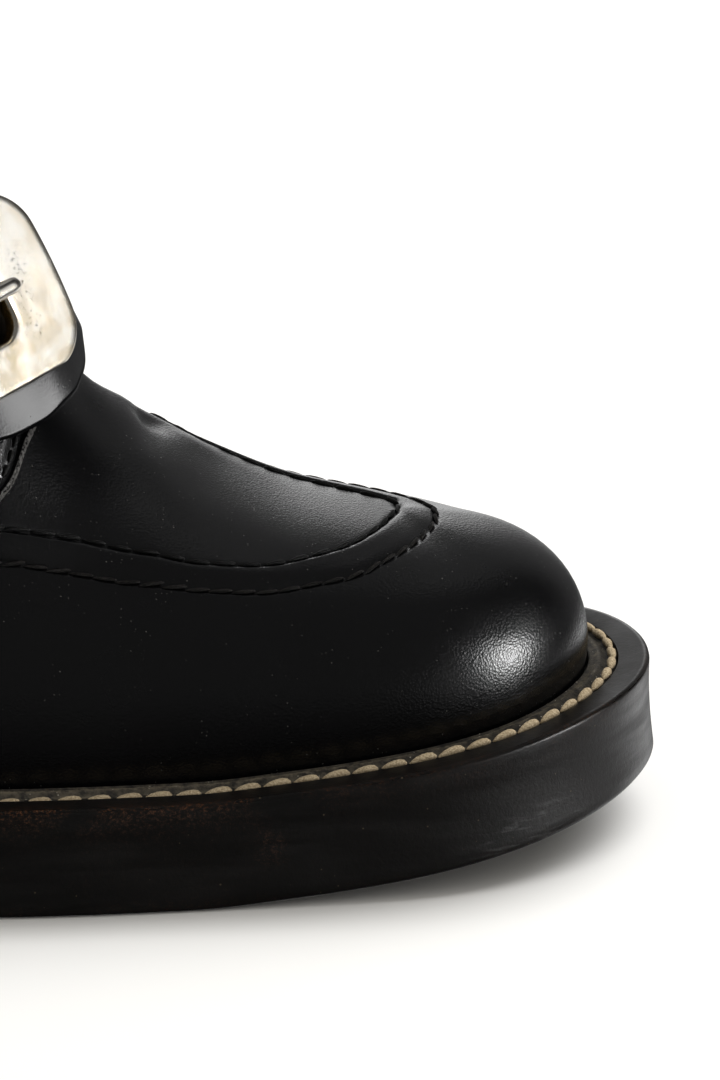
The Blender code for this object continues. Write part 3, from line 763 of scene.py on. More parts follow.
def foldHeight(points):
    height = np.zeros(points.shape[:-1])
    for side, path, depth, width in softFolds:
        corners = np.array([upperPoint(turnOf(s), side, r) for s, r in path])
        height += depth * np.exp(-(pathDistance(points, corners) / width) ** 2)
    return height


def upperSkin(turns, side):
    rises = np.array([levelRises(t, side) for t in turns])
    spread = np.repeat(turns[:, None], rises.shape[1], axis=1)
    points = upperPoint(spread, side, rises)
    inner, outer = bandLines(spread, side)
    across = (rises - outer) / (inner - outer)
    folds = foldHeight(points) * smoothStep(rises, *foldFade) * (across > 1.0)
    height = bandHeight(spread, side, across) + folds
    normal = skinNormal(spread, side, np.clip(rises, 0.001, upperShell["nearCrest"]))
    return points + normal * height[..., None]


def makeUpper():
    turns = np.unique(np.append(np.linspace(0, 1, upperShell["turnSteps"]), turnOf(form["throat"])))
    closed = anchorAt(turns) <= form["throat"]
    mouth = anchorAt(turns[1:]) > form["throat"] + 1e-6
    along = np.linspace(*strapShade["along"], 40)
    strapFront = strapAt(along, np.zeros_like(along), 0.0)
    points, faces, slots, matt = [], [], [], []
    first = 0
    crest = None
    for side in (-1, 1):
        skin = upperSkin(turns, side)
        if crest is not None:
            skin[closed, -1] = crest[closed]  # both halves share their crest
        crest = skin[:, -1].copy()
        rows, columns = skin.shape[:2]
        size = rows * columns
        rises = np.linspace(0, 1, columns)[None, :] * topAt(turns, side)[:, None]
        lining = upperPoint(np.repeat(turns[:, None], columns, axis=1), side, rises, -upperShell["wall"])
        lining[:, 0, 2] = skin[:, 0, 2]
        points += [skin.reshape(-1, 3), lining.reshape(-1, 3)]
        nearStrap = np.exp(-(pathDistance(points[-2], strapFront) / strapShade["reach"]) ** 2)
        matt += [strapShade["matt"] * nearStrap, np.zeros(size)]
        outside = gridFaces(rows, columns, first)
        inside = gridFaces(rows, columns, first + size)[:, ::-1]
        ids = first + np.arange(size).reshape(rows, columns)
        foot, edge = (
            np.stack([line[:-1], line[1:], line[1:] + size, line[:-1] + size], -1)
            for line in (ids[:, 0], ids[:, -1]))
        faces += [outside, inside, foot, edge[mouth]]
        slots += [np.zeros(len(outside)), np.ones(len(inside)), np.zeros(len(foot)), np.zeros(mouth.sum())]
        first += 2 * size
    upper = meshPiece(
        "shoe_upper", place(np.concatenate(points)), np.concatenate(faces), [leatherLook, liningLook],
        {"matt": np.concatenate(matt)}, np.concatenate(slots), creaseDeg=60.0)
    mount(upper, "upper")


makeUpper()
apronSew = {
    "inner": {"pitch": 4.5, "slantDeg": 3.0, "waverDeg": 2.0, "seed": 3,
              "length": 4.2, "width": 0.8, "height": 0.8, "inwards": 0.09, "lift": {-1: 0.38, 1: 0.12}},
    "outer": {"pitch": 3.9, "slantDeg": 9.0, "waverDeg": 8.0, "seed": 4,
              "length": 4.4, "width": 0.72, "height": 0.7, "inwards": 0.0, "lift": {-1: 0.05, 1: 0.05}},
    "toTurn": 0.447,
}


def sewApron():
    turns = np.linspace(0, apronSew["toTurn"], 300)
    for row, thread in (("inner", blackThread), ("outer", greyThread)):
        sew = apronSew[row]
        halves = []
        for side in (-1, 1):
            inner, outer = bandLines(turns, side)
            rises = (inner if row == "inner" else outer) + sew["inwards"] * (inner - outer)
            rises = np.clip(rises, 0, upperShell["nearCrest"])
            halves.append(skinPath(turns, side, rises, sew["lift"][side]))
        path = [np.concatenate([lateral[::-1], medial[1:]]) for lateral, medial in zip(*halves)]
        sewRow("apron_stitches_" + row, [path], sew, thread)


sewApron()

# Quarters: the rear panels laid over the vamp, with a beaded front edge that carries a painted highlight, and
# a sewn groove behind it
quarterPanel = {
    "share": (0.0, 0.12, 0.25, 0.36, 0.43, 0.538, 0.584, 0.659, 0.718, 0.80, 0.88, 0.95, 1.0),
    "behind": (143.0, 136.5, 129.0, 122.0, 117.5, 110.8, 108.5, 106.6, 105.2, 108.0, 115.0, 124.0, 131.0),
    "thick": 0.78, "sunk": -0.4, "levels": 90, "columns": 60, "seamDepth": 0.35, "seamWidth": 1.0,
}
# The front edge carries a painted highlight: a lighter strip over its first half millimetre, up to a share of
# the panel's height
quarterEdge = {
    "from": (0.0, 0.1, 0.25, 0.45, 0.7, 1.0, 1.4, 2.1, 2.6, 3.1, 4.0, 400.0),
    "height": (-0.35, 0.25, 0.55, 0.66, 0.52, 0.26, 0.10, 0.12, 0.48, 0.74, 0.78, 0.78),
    "steps": (0, 0.12, 0.25, 0.4, 0.6, 0.8, 1.0, 1.2, 1.45, 1.8, 2.1, 2.4, 2.7, 3.0, 3.5, 4.2, 5.5),
    "edgeHighlight": 0.75, "highlightTo": 0.5, "highlightBelow": 0.76, "matt": 0.75, "mattTo": 1.1,
}


def makeQuarters():
    shares = np.linspace(0, 1, quarterPanel["levels"])
    near = np.array(quarterEdge["steps"])
    far = np.linspace(0, 1, quarterPanel["columns"])[1:] ** 1.3
    starts = turnOf(curveAt(quarterPanel, "behind", shares, "share"))
    nearTurns = starts[:, None] + near[None, :] / paceAt(starts)[:, None]
    farTurns = nearTurns[:, -1:] + (1 - nearTurns[:, -1:]) * far[None, :]
    turns = np.concatenate([nearTurns, farTurns], axis=1)
    nearEdge = np.repeat(near[None, :], len(shares), axis=0)
    behindEdge = np.concatenate([nearEdge, np.full(farTurns.shape, near[-1] + 0.5)], axis=1)
    backSeam = paceAt(np.minimum(turns, 0.9999)) * (1 - turns)
    height = curveAt(quarterEdge, "height", behindEdge, "from")
    height = height - quarterPanel["seamDepth"] * np.exp(-(backSeam / quarterPanel["seamWidth"]) ** 2)
    # the strip that gets the painted highlight
    worn = (behindEdge < quarterEdge["highlightTo"]) & (shares < quarterEdge["highlightBelow"])[:, None]
    matt = behindEdge < quarterEdge["mattTo"]
    points, faces = [], []
    for half, side in enumerate((-1, 1)):
        rises = shares[:, None] * topAt(turns, side)
        for grow in (height, np.full_like(height, quarterPanel["sunk"])):
            points.append(upperPoint(turns, side, rises, grow).reshape(-1, 3))
        faces.append(2 * half * turns.size + shellFaces(*turns.shape, joined=True))
    marks = {
        "edgeHighlight": np.tile(quarterEdge["edgeHighlight"] * worn.ravel(), 4),
        "matt": np.tile(quarterEdge["matt"] * matt.ravel(), 4),
    }
    quarters = meshPiece(
        "quarter_panels", place(np.concatenate(points)), np.concatenate(faces), [leatherLook], marks,
        creaseDeg=60.0)
    mount(quarters)


makeQuarters()
quarterSew = {
    "pitch": 3.0, "slantDeg": 6.0, "waverDeg": 4.0, "seed": 5,
    "length": 2.6, "width": 0.9, "height": 0.8, "behind": 2.0, "lift": 0.3, "shares": (0.02, 0.985),
}


def sewQuarters():
    shares = np.linspace(*quarterSew["shares"], 260)
    starts = turnOf(curveAt(quarterPanel, "behind", shares, "share"))
    turns = starts + quarterSew["behind"] / paceAt(starts)
    paths = []
    for side in (-1, 1):
        rises = np.minimum(shares * topAt(turns, side), 0.995)
        paths.append(skinPath(turns, side, rises, quarterSew["lift"]))
    sewRow("quarter_stitches", paths, quarterSew, blackThread)


sewQuarters()

# Collar: a bound edge all round the mouth, with a sewn row under it
collarEdge = {"radius": 1.7, "tall": 2.1, "sides": 14, "steps": 150, "inwards": 0.75}


def makeCollar():
    first = float(turnOf(form["throat"]))
    turns = first + (1 - first) * np.linspace(0, 1, collarEdge["steps"]) ** 1.25
    halves = [upperPoint(turns, side, topAt(turns, side), -collarEdge["inwards"]) for side in (-1, 1)]
    centre = np.concatenate([halves[0], halves[1][-2:0:-1]])
    ahead = unit(np.roll(centre, -1, axis=0) - np.roll(centre, 1, axis=0))
    upwards = unit(np.array([0.0, 0.0, 1.0]) - ahead * ahead[:, 2:3])
    outwards = np.cross(ahead, upwards)
    angles = circle(collarEdge["sides"])[None, :, None]
    rings = centre[:, None, :] + outwards[:, None, :] * np.cos(angles) * collarEdge["radius"]
    rings = rings + upwards[:, None, :] * np.sin(angles) * collarEdge["tall"]
    closedRings = np.concatenate([rings, rings[:1]]).reshape(-1, 3)
    faces = gridFaces(len(rings) + 1, collarEdge["sides"], wrap=True)
    mount(meshPiece("collar_binding", place(closedRings), faces, [leatherLook]))


makeCollar()
collarSew = {
    "pitch": 3.2, "slantDeg": 0.0, "waverDeg": 3.0, "seed": 7, "length": 2.5, "width": 0.7, "height": 0.6,
    "behindThroat": 4.0, "drop": 0.035, "lift": 0.12,
}


def sewCollar():
    turns = np.linspace(float(turnOf(form["throat"] + collarSew["behindThroat"])), 1, 240)
    lift = quarterPanel["thick"] + collarSew["lift"]
    halves = [skinPath(turns, side, topAt(turns, side) - collarSew["drop"], lift) for side in (-1, 1)]
    path = [np.concatenate([lateral, medial[-2::-1]]) for lateral, medial in zip(*halves)]
    sewRow("collar_stitches", [path], collarSew, blackThread)


sewCollar()

# Strap: a thick band over the instep with rounded edges, thinned where its ends are sewn down
instepStrap = {
    "thick": 3.4, "lift": 0.8, "bridge": 1.4, "edgeRound": 0.35, "underRound": 0.9, "undercut": 0.22,
    "rows": 150, "endFrom": 0.84, "endThick": 1.5, "endRound": 0.985, "edgeMatt": 0.9, "mattTo": 0.4,
    "fromEdge": (0.0, 0.1, 0.25, 0.45, 0.7, 1.0, 1.25, 2.0, 3.5, 5.5, 8.0),
}


def strapThick(along):
    thin = smoothStep(np.abs(along), instepStrap["endFrom"], 1.0)
    return instepStrap["thick"] + (instepStrap["endThick"] - instepStrap["thick"]) * thin


def makeStrap():
    along = np.linspace(-1, 1, instepStrap["rows"])
    front = strapAt(along, np.zeros_like(along), 2.0)
    width = np.linalg.norm(strapAt(along, np.ones_like(along), 2.0) - front, axis=-1)
    low = np.array(instepStrap["fromEdge"])[None, :] / width[:, None]
    share = np.concatenate([low, np.full((len(along), 1), 0.5), 1 - low[:, ::-1]], axis=1)
    distance = np.minimum(share, 1 - share) * width[:, None]
    spread = np.repeat(along[:, None], share.shape[1], axis=1)
    thick = strapThick(spread)
    endEdge = smoothStep(np.abs(spread), instepStrap["endRound"], 1.0)
    lift = instepStrap["lift"] + instepStrap["bridge"] * np.maximum(0, 1 - 2 * np.abs(spread))
    grids = []
    for limit, upper in ((instepStrap["edgeRound"], True), (instepStrap["underRound"], False)):
        limit = np.minimum(limit, thick * 0.48)
        short = np.clip(1 - distance / limit, 0, 1)
        drop = limit * (1 - np.sqrt(1 - short ** 2))
        grow = lift + thick - drop - endEdge * thick * 0.5 if upper else lift + drop
        inset = 0.0 if upper else instepStrap["undercut"]
        grids.append(strapAt(spread, inset + (1 - 2 * inset) * share, grow).reshape(-1, 3))
    edge = np.where(distance < instepStrap["mattTo"], instepStrap["edgeMatt"], 0.0).ravel()
    marks = {"matt": np.concatenate([edge, np.ones(share.size)]), "smooth": np.ones(2 * share.size)}
    strap = meshPiece(
        "instep_strap", place(np.concatenate(grids)), shellFaces(*share.shape), [leatherLook], marks,
        creaseDeg=60.0)
    mount(strap, "strap")


makeStrap()
strapSew = {
    "pitch": 3.4, "slantDeg": 0.0, "waverDeg": 3.0, "seed": 9, "length": 2.7, "width": 0.8, "height": 0.7,
    "inset": 0.13, "from": 0.86, "to": 0.975, "lift": 0.1,
}


def sewStrapEnds():
    run = np.linspace(strapSew["from"], strapSew["to"], 40)
    turnBack = np.linspace(strapSew["inset"], 1 - strapSew["inset"], 60)[1:-1]
    share = np.concatenate([np.full(40, strapSew["inset"]), turnBack, np.full(40, 1 - strapSew["inset"])])
    paths = []
    for side in (-1, 1):
        along = np.concatenate([run, np.full(len(turnBack), strapSew["to"]), run[::-1]]) * side
        grow = instepStrap["lift"] + strapThick(along)
        points = strapAt(along, share, grow)
        lean = unit(strapAt(along, share, grow + 1.0) - points)
        paths.append((place(points + lean * strapSew["lift"]), frameDirection(lean)))
    sewRow("strap_stitches", paths, strapSew, blackThread)


sewStrapEnds()

# Sole: loops round the outline, each with its inset and height
soleForm = {
    "steps": 170, "flare": 0.9, "bevel": 1.4, "bevelTall": 0.8, "rimBevel": 0.8, "hollow": 0.35,
    "underInset": 16.0, "rubFrom": 0.62, "streakAt": 65.5, "streakWidth": 2.0, "streak": 0.8,
    "scuffFrom": (10, 16), "scuffTo": (23, 34), "scuffAt": 0.14, "scuffSpread": 0.16,
}


def loopTurns(steps):
    turns = np.linspace(0, 1, steps + 1)
    return np.concatenate([turns, turns[-2:0:-1]]), np.repeat([-1, 1], [steps + 1, steps - 1])


def outlineLoop(width, inset, steps):
    turns, sides = loopTurns(steps)
    behind = np.empty(len(turns))
    y = np.empty(len(turns))
    for side in (-1, 1):
        mine = sides == side
        behind[mine], y[mine] = outlineAt(turns[mine], side, width * marginAt(turns[mine]) + inset)
    return behind, y


def soleLoop(width, inset, heightAt, steps):
    behind, y = outlineLoop(width, inset, steps)
    return np.stack([behind, y, heightAt(np.clip(behind, 0, form["soleLength"]))], axis=-1)


# Faces across a loop, from the lateral to the medial side
def capFaces(first, steps):
    count = 2 * steps
    faces = [(first, first + 1, first + count - 1)]
    for i in range(1, steps - 1):
        faces.append((first + i, first + i + 1, first + count - i - 1, first + count - i))
    faces.append((first + steps - 1, first + steps, first + steps + 1))
    return faces


def stackFaces(loops, steps):
    faces = gridFaces(loops, 2 * steps, wrap=True).tolist()
    return faces + capFaces(0, steps) + capFaces((loops - 1) * 2 * steps, steps)


def makeOutsole():
    steps = soleForm["steps"]
    flare, bevel, edge = soleForm["flare"], soleForm["bevel"], soleForm["rimBevel"]
    foot = bevel * soleForm["bevelTall"]
    rubFrom = soleForm["rubFrom"]
    loops = []
    marks = {"rub": [], "scuff": [], "polish": []}

    def add(width, inset, heightAt, rubbed=0.0, scuffed=0.0, polished=0.0, streaked=False):
        loop = soleLoop(width, inset, heightAt, steps)
        behind, y = loop[:, 0], loop[:, 1]
        lateral = (smoothStep(-y, -20, 10) * 0.8 + 0.2) * (0.3 + 0.7 * smoothStep(behind, 45, 80))
        streak = np.exp(-((behind - soleForm["streakAt"]) / soleForm["streakWidth"]) ** 2) * (y < 0)
        toe = smoothStep(behind, *soleForm["scuffFrom"]) * (1 - smoothStep(behind, *soleForm["scuffTo"]))
        loops.append(loop)
        marks["rub"].append(np.maximum(rubbed * lateral, soleForm["streak"] * streak * streaked))
        marks["scuff"].append(scuffed * toe * (y < 0))
        marks["polish"].append(np.full(len(loop), polished))

    add(0.0, bevel - flare + soleForm["underInset"], underAt)
    add(0.0, bevel - flare, underAt)
    for angle in (22, 45, 68, 90):
        a = math.radians(angle)
        inset = bevel * (1 - math.sin(a)) - flare
        add(0.0, inset, lambda d, a=a: underAt(d) + foot * (1 - math.cos(a)), 0.25, 0.5)
    for share in np.linspace(0.1, 1.0, 10):
        # the wall leans in upwards and is a little hollow above its foot
        inset = -flare * (1 - share) ** 1.6 + soleForm["hollow"] * math.sin(math.pi * share) * 0.5
        height = lambda d, share=share: (underAt(d) + foot) * (1 - share) + (rimAt(d) - edge) * share
        rubbed = 0.05 + 0.75 * (max(0.0, share - rubFrom) / (1 - rubFrom)) ** 2.0
        scuffed = 0.8 * math.exp(-((share - soleForm["scuffAt"]) / soleForm["scuffSpread"]) ** 2)
        add(0.0, inset, height, rubbed, scuffed, 0.0, share > 0.35)
    for angle in (30, 60, 90):
        a = math.radians(angle)
        add(0.0, edge * (1 - math.cos(a)), lambda d, a=a: rimAt(d) - edge * (1 - math.sin(a)), 0.8, 0.0, 1.0)
    add(0.0, edge + 0.4, rimAt, 0.25, 0.0, -0.3)
    add(form["rimWidth"], -0.5, rimAt, polished=-0.6)
    add(form["rimWidth"], -0.1, lambda d: rimAt(d) - 0.12, polished=-0.6)
    add(form["rimWidth"], 0.0, lambda d: rimAt(d) - 0.5)
    add(form["rimWidth"], 0.0, recessAt)
    outsole = meshPiece(
        "sole", place(np.concatenate(loops)), stackFaces(len(loops), steps), [soleLook],
        {name: np.concatenate(values) for name, values in marks.items()}, creaseDeg=50.0)
    mount(outsole, "outsole")


makeOutsole()

# Heel: stacked lifts with fine grooves between them, cut straight at the breast
heelStack = {
    "breast": 204.0, "taper": 1.2, "inset": 2.4, "lifts": 4, "topLift": 6.0, "groove": 0.28, "rub": 0.2,
    "steps": 200, "wallPoints": 110, "breastPoints": 60,
}


def makeHeel():
    top = float(underAt(form["soleLength"])) - form["gap"]
    groove, edge = heelStack["groove"], heelStack["breast"]
    levels = [(0.0, 0.9), (0.25, 0.35), (0.7, 0.08), (1.2, 0.0)]
    for z in np.linspace(heelStack["topLift"], top, heelStack["lifts"])[:-1]:
        levels += [(z - 0.3, 0.0), (z - 0.12, groove), (z + 0.12, groove), (z + 0.3, 0.0)]
    levels += [(top, 0.0)]
    loops = []
    for z, sink in levels:
        inset = heelStack["inset"] + heelStack["taper"] * (1 - z / top) + sink
        behind, y = outlineLoop(0.0, inset, heelStack["steps"])
        ring = np.stack([behind, y, np.full_like(y, z)], axis=-1)[behind > edge]
        # evenly spaced points, so that every level has the same count
        size = np.concatenate([[0], np.cumsum(np.linalg.norm(np.diff(ring[:, :2], axis=0), axis=1))])
        even = np.linspace(0, size[-1], heelStack["wallPoints"])
        wall = np.stack([np.interp(even, size, ring[:, k]) for k in range(3)], axis=-1)
        wall[[0, -1], 0] = edge + sink
        breast = np.linspace(wall[-1], wall[0], heelStack["breastPoints"])[1:-1]
        loops.append(np.concatenate([wall, breast]))
    points = np.concatenate(loops)
    heel = meshPiece(
        "heel_stack", place(points), tubeFaces(len(loops), len(loops[0])), [soleLook],
        {"rub": np.full(len(points), heelStack["rub"])}, creaseDeg=30.0)
    mount(heel, "heel")


makeHeel()

# Welt: the dusty strip between the rim and the foot of the upper
weltStrip = {
    "step": 1.0, "ridge": 0.3, "clear": 1.2, "wave": 0.25, "steps": 170,
    "dustBands": ((0.85, 0.74, 0.14), (0.4, 0.36, 0.12)),  # level, place across the strip, spread
}


def makeWelt():
    steps, step, ridge = weltStrip["steps"], weltStrip["step"], weltStrip["ridge"]
    bottom = form["gap"] - form["recessDepth"]
    near, nearY = outlineLoop(form["rimWidth"], form["gap"], steps)
    far, farY = outlineLoop(form["featherInset"], -weltStrip["clear"], steps)
    # rows across the strip: share of its width, lift over the rim, dust
    rows = [(0.0, bottom, 0.2), (0.0, -step, 0.3)]
    for share in np.linspace(0.08, 0.96, 14):
        lift = -step + (step + ridge) * share ** 0.8 + weltStrip["wave"] * math.sin(math.pi * share * 4.0)
        bands = (level * math.exp(-((share - at) / wide) ** 2) for level, at, wide in weltStrip["dustBands"])
        rows.append((share, lift, 0.15 + sum(bands)))
    rows += [(1.0, ridge - 0.25, 0.4), (1.0, bottom, 0.2)]
    loops, dust = [], []
    for share, lift, dusty in rows + rows[:1]:
        behind = near + (far - near) * share
        loops.append(np.stack([behind, nearY + (farY - nearY) * share, rimAt(behind) + lift], axis=-1))
        # darker towards the toe: partly less dust there, partly painted shade where the lamp falls strongest
        dust.append(dusty * (0.5 + 0.9 * smoothStep(behind, 8.0, 70.0)))
    welt = meshPiece(
        "welt_strip", place(np.concatenate(loops)), gridFaces(len(loops), 2 * steps, wrap=True), [weltLook],
        {"dust": np.concatenate(dust)})
    mount(welt, "welt")


makeWelt()
weltSew = {
    "pitch": 5.1, "slantDeg": 3.0, "waverDeg": 2.5, "seed": 11, "length": 4.75, "width": 1.7, "height": 1.5,
    "fromRim": 1.05, "lift": -0.05, "sink": 0.75, "sinkFrom": (30.0, 120.0), "lean": 0.25,
}


def sewWelt():
    behind, y = outlineLoop(form["rimWidth"], weltSew["fromRim"], 300)
    # the row lies lower in its groove behind the ball
    lift = weltSew["lift"] - weltSew["sink"] * smoothStep(behind, *weltSew["sinkFrom"])
    path = np.stack([behind, y, rimAt(behind) + lift], axis=-1)
    far, farY = outlineLoop(form["rimWidth"], weltSew["fromRim"] + 1.0, 300)
    outwards = np.stack([behind - far, y - farY, np.zeros_like(y)], axis=-1)
    lean = unit(outwards * weltSew["lean"] + np.array([0.0, 0.0, 1.0]))
    # run from the heel along the lateral side to the toe, so that the blunt ends face the toe
    paths = [(place(path)[::-1], frameDirection(lean)[::-1])]
    sewRow("welt_stitches", paths, weltSew, creamThread, closed=True)


sewWelt()

# Insole: the sock that shows through the mouth, a little dished
insoleSock = {"wall": 2.0, "clear": 0.6, "thick": 4.0, "dish": 0.7, "steps": 120}


def makeInsole():
    steps = insoleSock["steps"]
    inset = insoleSock["wall"] + insoleSock["clear"]
    base = form["gap"] - form["recessDepth"]
    top = base + insoleSock["thick"]
    loops = []
    for extra, lift in ((0.0, base), (0.0, top - 0.5), (0.15, top - 0.15), (0.5, top), (4.0, top - 0.2),
                        (10.0, top - insoleSock["dish"]), (16.0, top - insoleSock["dish"])):
        height = lambda d, lift=lift: rimAt(d) + lift
        loops.append(soleLoop(form["featherInset"], inset + extra, height, steps))
    sock = meshPiece("insole_sock", place(np.concatenate(loops)), stackFaces(len(loops), steps), [liningLook])
    mount(sock, "insole")


makeInsole()

# Buckle: plate, pin and prong, in the plate's own directions
bucklePlate = {
    "length": 44.0, "width": 32.0, "thick": 2.5, "corner": 8.0, "bevel": 0.5,
    "freeBar": 13.7, "hingeBar": 8.0,
    "slotWidth": 16.0, "slotCorner": 4.0, "slotBevel": 0.6, "slotSink": 0.4, "endBow": 1.4,
    "freeEnd": (102.7, -3.9, 99.9), "along": (0.615, 0.776, 0.139), "out": (0.66, -0.602, 0.442),
    "pinRadius": 1.3, "pinFromHinge": 4.6, "prongWidth": 3.1, "prongThick": 1.7, "prongReach": 3.6,
}
# Tarnish by the prong's tip, warm stains at two corners (place, reach, level), and the lower half tinted
# warmer and darker
plateMarks = {
    "trail": ((-8.0, 3.6, 0.0), (-9.0, 0.0, 0.0), (-10.0, -3.7, 0.0), (-10.8, -8.2, 0.0)),
    "trailWidth": 1.9, "tarnish": 0.95, "lower": 0.75,
    "corners": (((-16.5, -11.0), 8.0, 1.0), ((-2.0, 9.0), 5.0, 0.8)),
}


def plateAxes():
    along = np.asarray(bucklePlate["along"]) / np.linalg.norm(bucklePlate["along"])
    out = np.asarray(bucklePlate["out"]) - np.dot(bucklePlate["out"], along) * along
    out = out / np.linalg.norm(out)
    return along, np.cross(out, along), out


def fromPlate(points):
    along, across, out = plateAxes()
    points = np.asarray(points, float)
    moved = points[:, 0:1] * along + points[:, 1:2] * across + points[:, 2:3] * out
    return place(bucklePlate["freeEnd"]) + moved * mm


def roundedLoop(low, high, half, corner, height, steps=10, straight=9):
    points = []
    quarters = ((high, half, 0), (low, half, 1), (low, -half, 2), (high, -half, 3))
    for a, b, quarter in quarters:
        middle = a - math.copysign(corner, a - (low + high) / 2)
        side = b - math.copysign(corner, b)
        for k in range(steps + 1):
            angle = (quarter + k / steps) * math.pi / 2
            points.append((middle + corner * math.cos(angle), side + corner * math.sin(angle), height))
    points = np.asarray(points)
    # the straight runs get points too, so that stains can follow them
    filled = []
    for k in range(4):
        arc = points[k * (steps + 1):(k + 1) * (steps + 1)]
        following = points[(k + 1) % 4 * (steps + 1)]
        filled.append(arc)
        filled.append(np.linspace(arc[-1], following, straight + 2)[1:-1])
    return np.concatenate(filled)


def makePlate():
    length, half, thick = bucklePlate["length"], bucklePlate["width"] / 2, bucklePlate["thick"]
    bevel, slotBevel, sink = bucklePlate["bevel"], bucklePlate["slotBevel"], bucklePlate["slotSink"]
    slotHigh = -bucklePlate["freeBar"]

    def outside(inset, height):
        return roundedLoop(inset - length, -inset, half - inset, bucklePlate["corner"] - inset, height)

    def slot(wider, height):
        return roundedLoop(bucklePlate["hingeBar"] - length - wider, slotHigh + wider,
                           bucklePlate["slotWidth"] / 2 + wider, bucklePlate["slotCorner"] + wider, height)

    loops = [outside(0.3, -thick), outside(0.0, 0.3 - thick)]
    for angle in (0, 30, 60, 90):
        a = math.radians(angle)
        loops.append(outside(bevel * (1 - math.cos(a)), -bevel * (1 - math.sin(a))))
    rim, lip = loops[-1], slot(slotBevel, 0.0)
    loops += [rim + (lip - rim) * share for share in np.linspace(0, 1, 12)[1:]]
    loops += [slot(slotBevel * 0.75, -0.06), slot(0.12, -sink)]
    brassFrom = len(loops)
    loops += [slot(0.0, -sink - 0.2), slot(0.0, -thick), loops[0]]
    points = np.concatenate(loops)
    bow = bucklePlate["endBow"] * (points[:, 1] / half) ** 2
    points[:, 0] -= bow * smoothStep(points[:, 0], slotHigh, 0.0)
    # the lower half is tinted warmer and darker
    warmTints = [plateMarks["lower"] * smoothStep(-points[:, 1], -6.0, 8.0)]
    for at, reach, level in plateMarks["corners"]:
        warmTints.append(level * np.exp(-(np.linalg.norm(points[:, :2] - np.array(at), axis=1) / reach) ** 2))
    toTrail = pathDistance(points, np.array(plateMarks["trail"]))
    # brass shows on the slot's wall
    rings = np.repeat(np.arange(len(loops)), len(rim))
    marks = {
        "tarnish": plateMarks["tarnish"] * np.exp(-(toTrail / plateMarks["trailWidth"]) ** 2),
        "warmTint": np.max(warmTints, axis=0), "brass": (rings >= brassFrom) & (rings < len(loops) - 1),
    }
    faces = gridFaces(len(loops), len(rim), wrap=True)
    plate = meshPiece("buckle_face", fromPlate(points), faces, [metalLook], marks)
    mount(plate, "buckle_plate")


def pinPlace():
    along = bucklePlate["hingeBar"] - bucklePlate["length"] + bucklePlate["pinFromHinge"]
    return along, -bucklePlate["thick"] / 2


def makePin():
    along, height = pinPlace()
    half = bucklePlate["slotWidth"] / 2 - form["gap"]
    sides = 24
    rings = []
    for across, share in ((-half, 0.8), (-half + 0.2, 1.0), (half - 0.2, 1.0), (half, 0.8)):
        radius = bucklePlate["pinRadius"] * share
        ahead = along + radius * np.cos(circle(sides))
        lift = height + radius * np.sin(circle(sides))
        rings.append(np.stack([ahead, np.full(sides, across), lift], axis=-1))
    faces = tubeFaces(len(rings), sides)
    pin = meshPiece("buckle_pin", fromPlate(np.concatenate(rings)), faces, [metalLook])
    mount(pin, "buckle_bar")


def makeProng():
    along, height = pinPlace()
    gap, thick = form["gap"], bucklePlate["prongThick"]
    curl = bucklePlate["pinRadius"] + 2 * gap + thick / 2
    path = [(along + curl * math.cos(math.radians(a)), height + curl * math.sin(math.radians(a)))
            for a in range(180, 89, -9)]
    rest = gap + thick / 2
    start = max(height + curl, rest)
    tip = bucklePlate["prongReach"] - bucklePlate["freeBar"]
    path += [(along + (tip - along) * s, start + (rest - start) * s) for s in np.linspace(0.1, 1, 24)]
    path = np.asarray(path)
    tangent = unit(np.gradient(path, axis=0))
    sides = 20
    toTip = np.linalg.norm(path - path[-1], axis=1)
    slim = np.sqrt(np.clip(1 - (1 - np.clip(toTip / 1.7, 0, 1)) ** 2, 0.03, 1))  # rounds the tip
    taper = 1 - 0.12 * smoothStep(toTip, 14, 0)
    rings = []
    for point, ahead, share in zip(path, tangent, slim * taper):
        across = bucklePlate["prongWidth"] / 2 * np.cos(circle(sides)) * share
        lift = thick / 2 * np.sin(circle(sides)) * share
        rings.append(np.stack([point[0] - ahead[1] * lift, across, point[1] + ahead[0] * lift], axis=-1))
    faces = tubeFaces(len(rings), sides)
    prong = meshPiece("buckle_tongue", fromPlate(np.concatenate(rings)), faces, [metalLook])
    mount(prong, "buckle_prong")


makePlate()
makePin()
makeProng()

# Floor, light and camera
studio = {
    "floorSize": 6.0, "floorTone": (0.86, 0.855, 0.84, 1), "floorCloud": (0.88, 0.875, 0.865, 1),
    "ambient": 0.56, "ambientTone": (1.0, 0.975, 0.92, 1), "cameraSide": 0.11, "frontFloor": 0.03,
    "target": (89.4, 3.1, 48.45), "elevationDeg": 19.0, "distance": 1100.0, "lens": 211.0,
}
lamp = {"power": 35.0, "size": 1.4, "at": (0.85, 0.75, 1.30), "aim": (0.06, 0.0, 0.03)}
strapLamp = {
    "power": 6.3, "wide": 0.95, "tall": 0.32, "way": 11.0, "height": 32.0, "aim": (0.037, -0.018, 0.08),
}
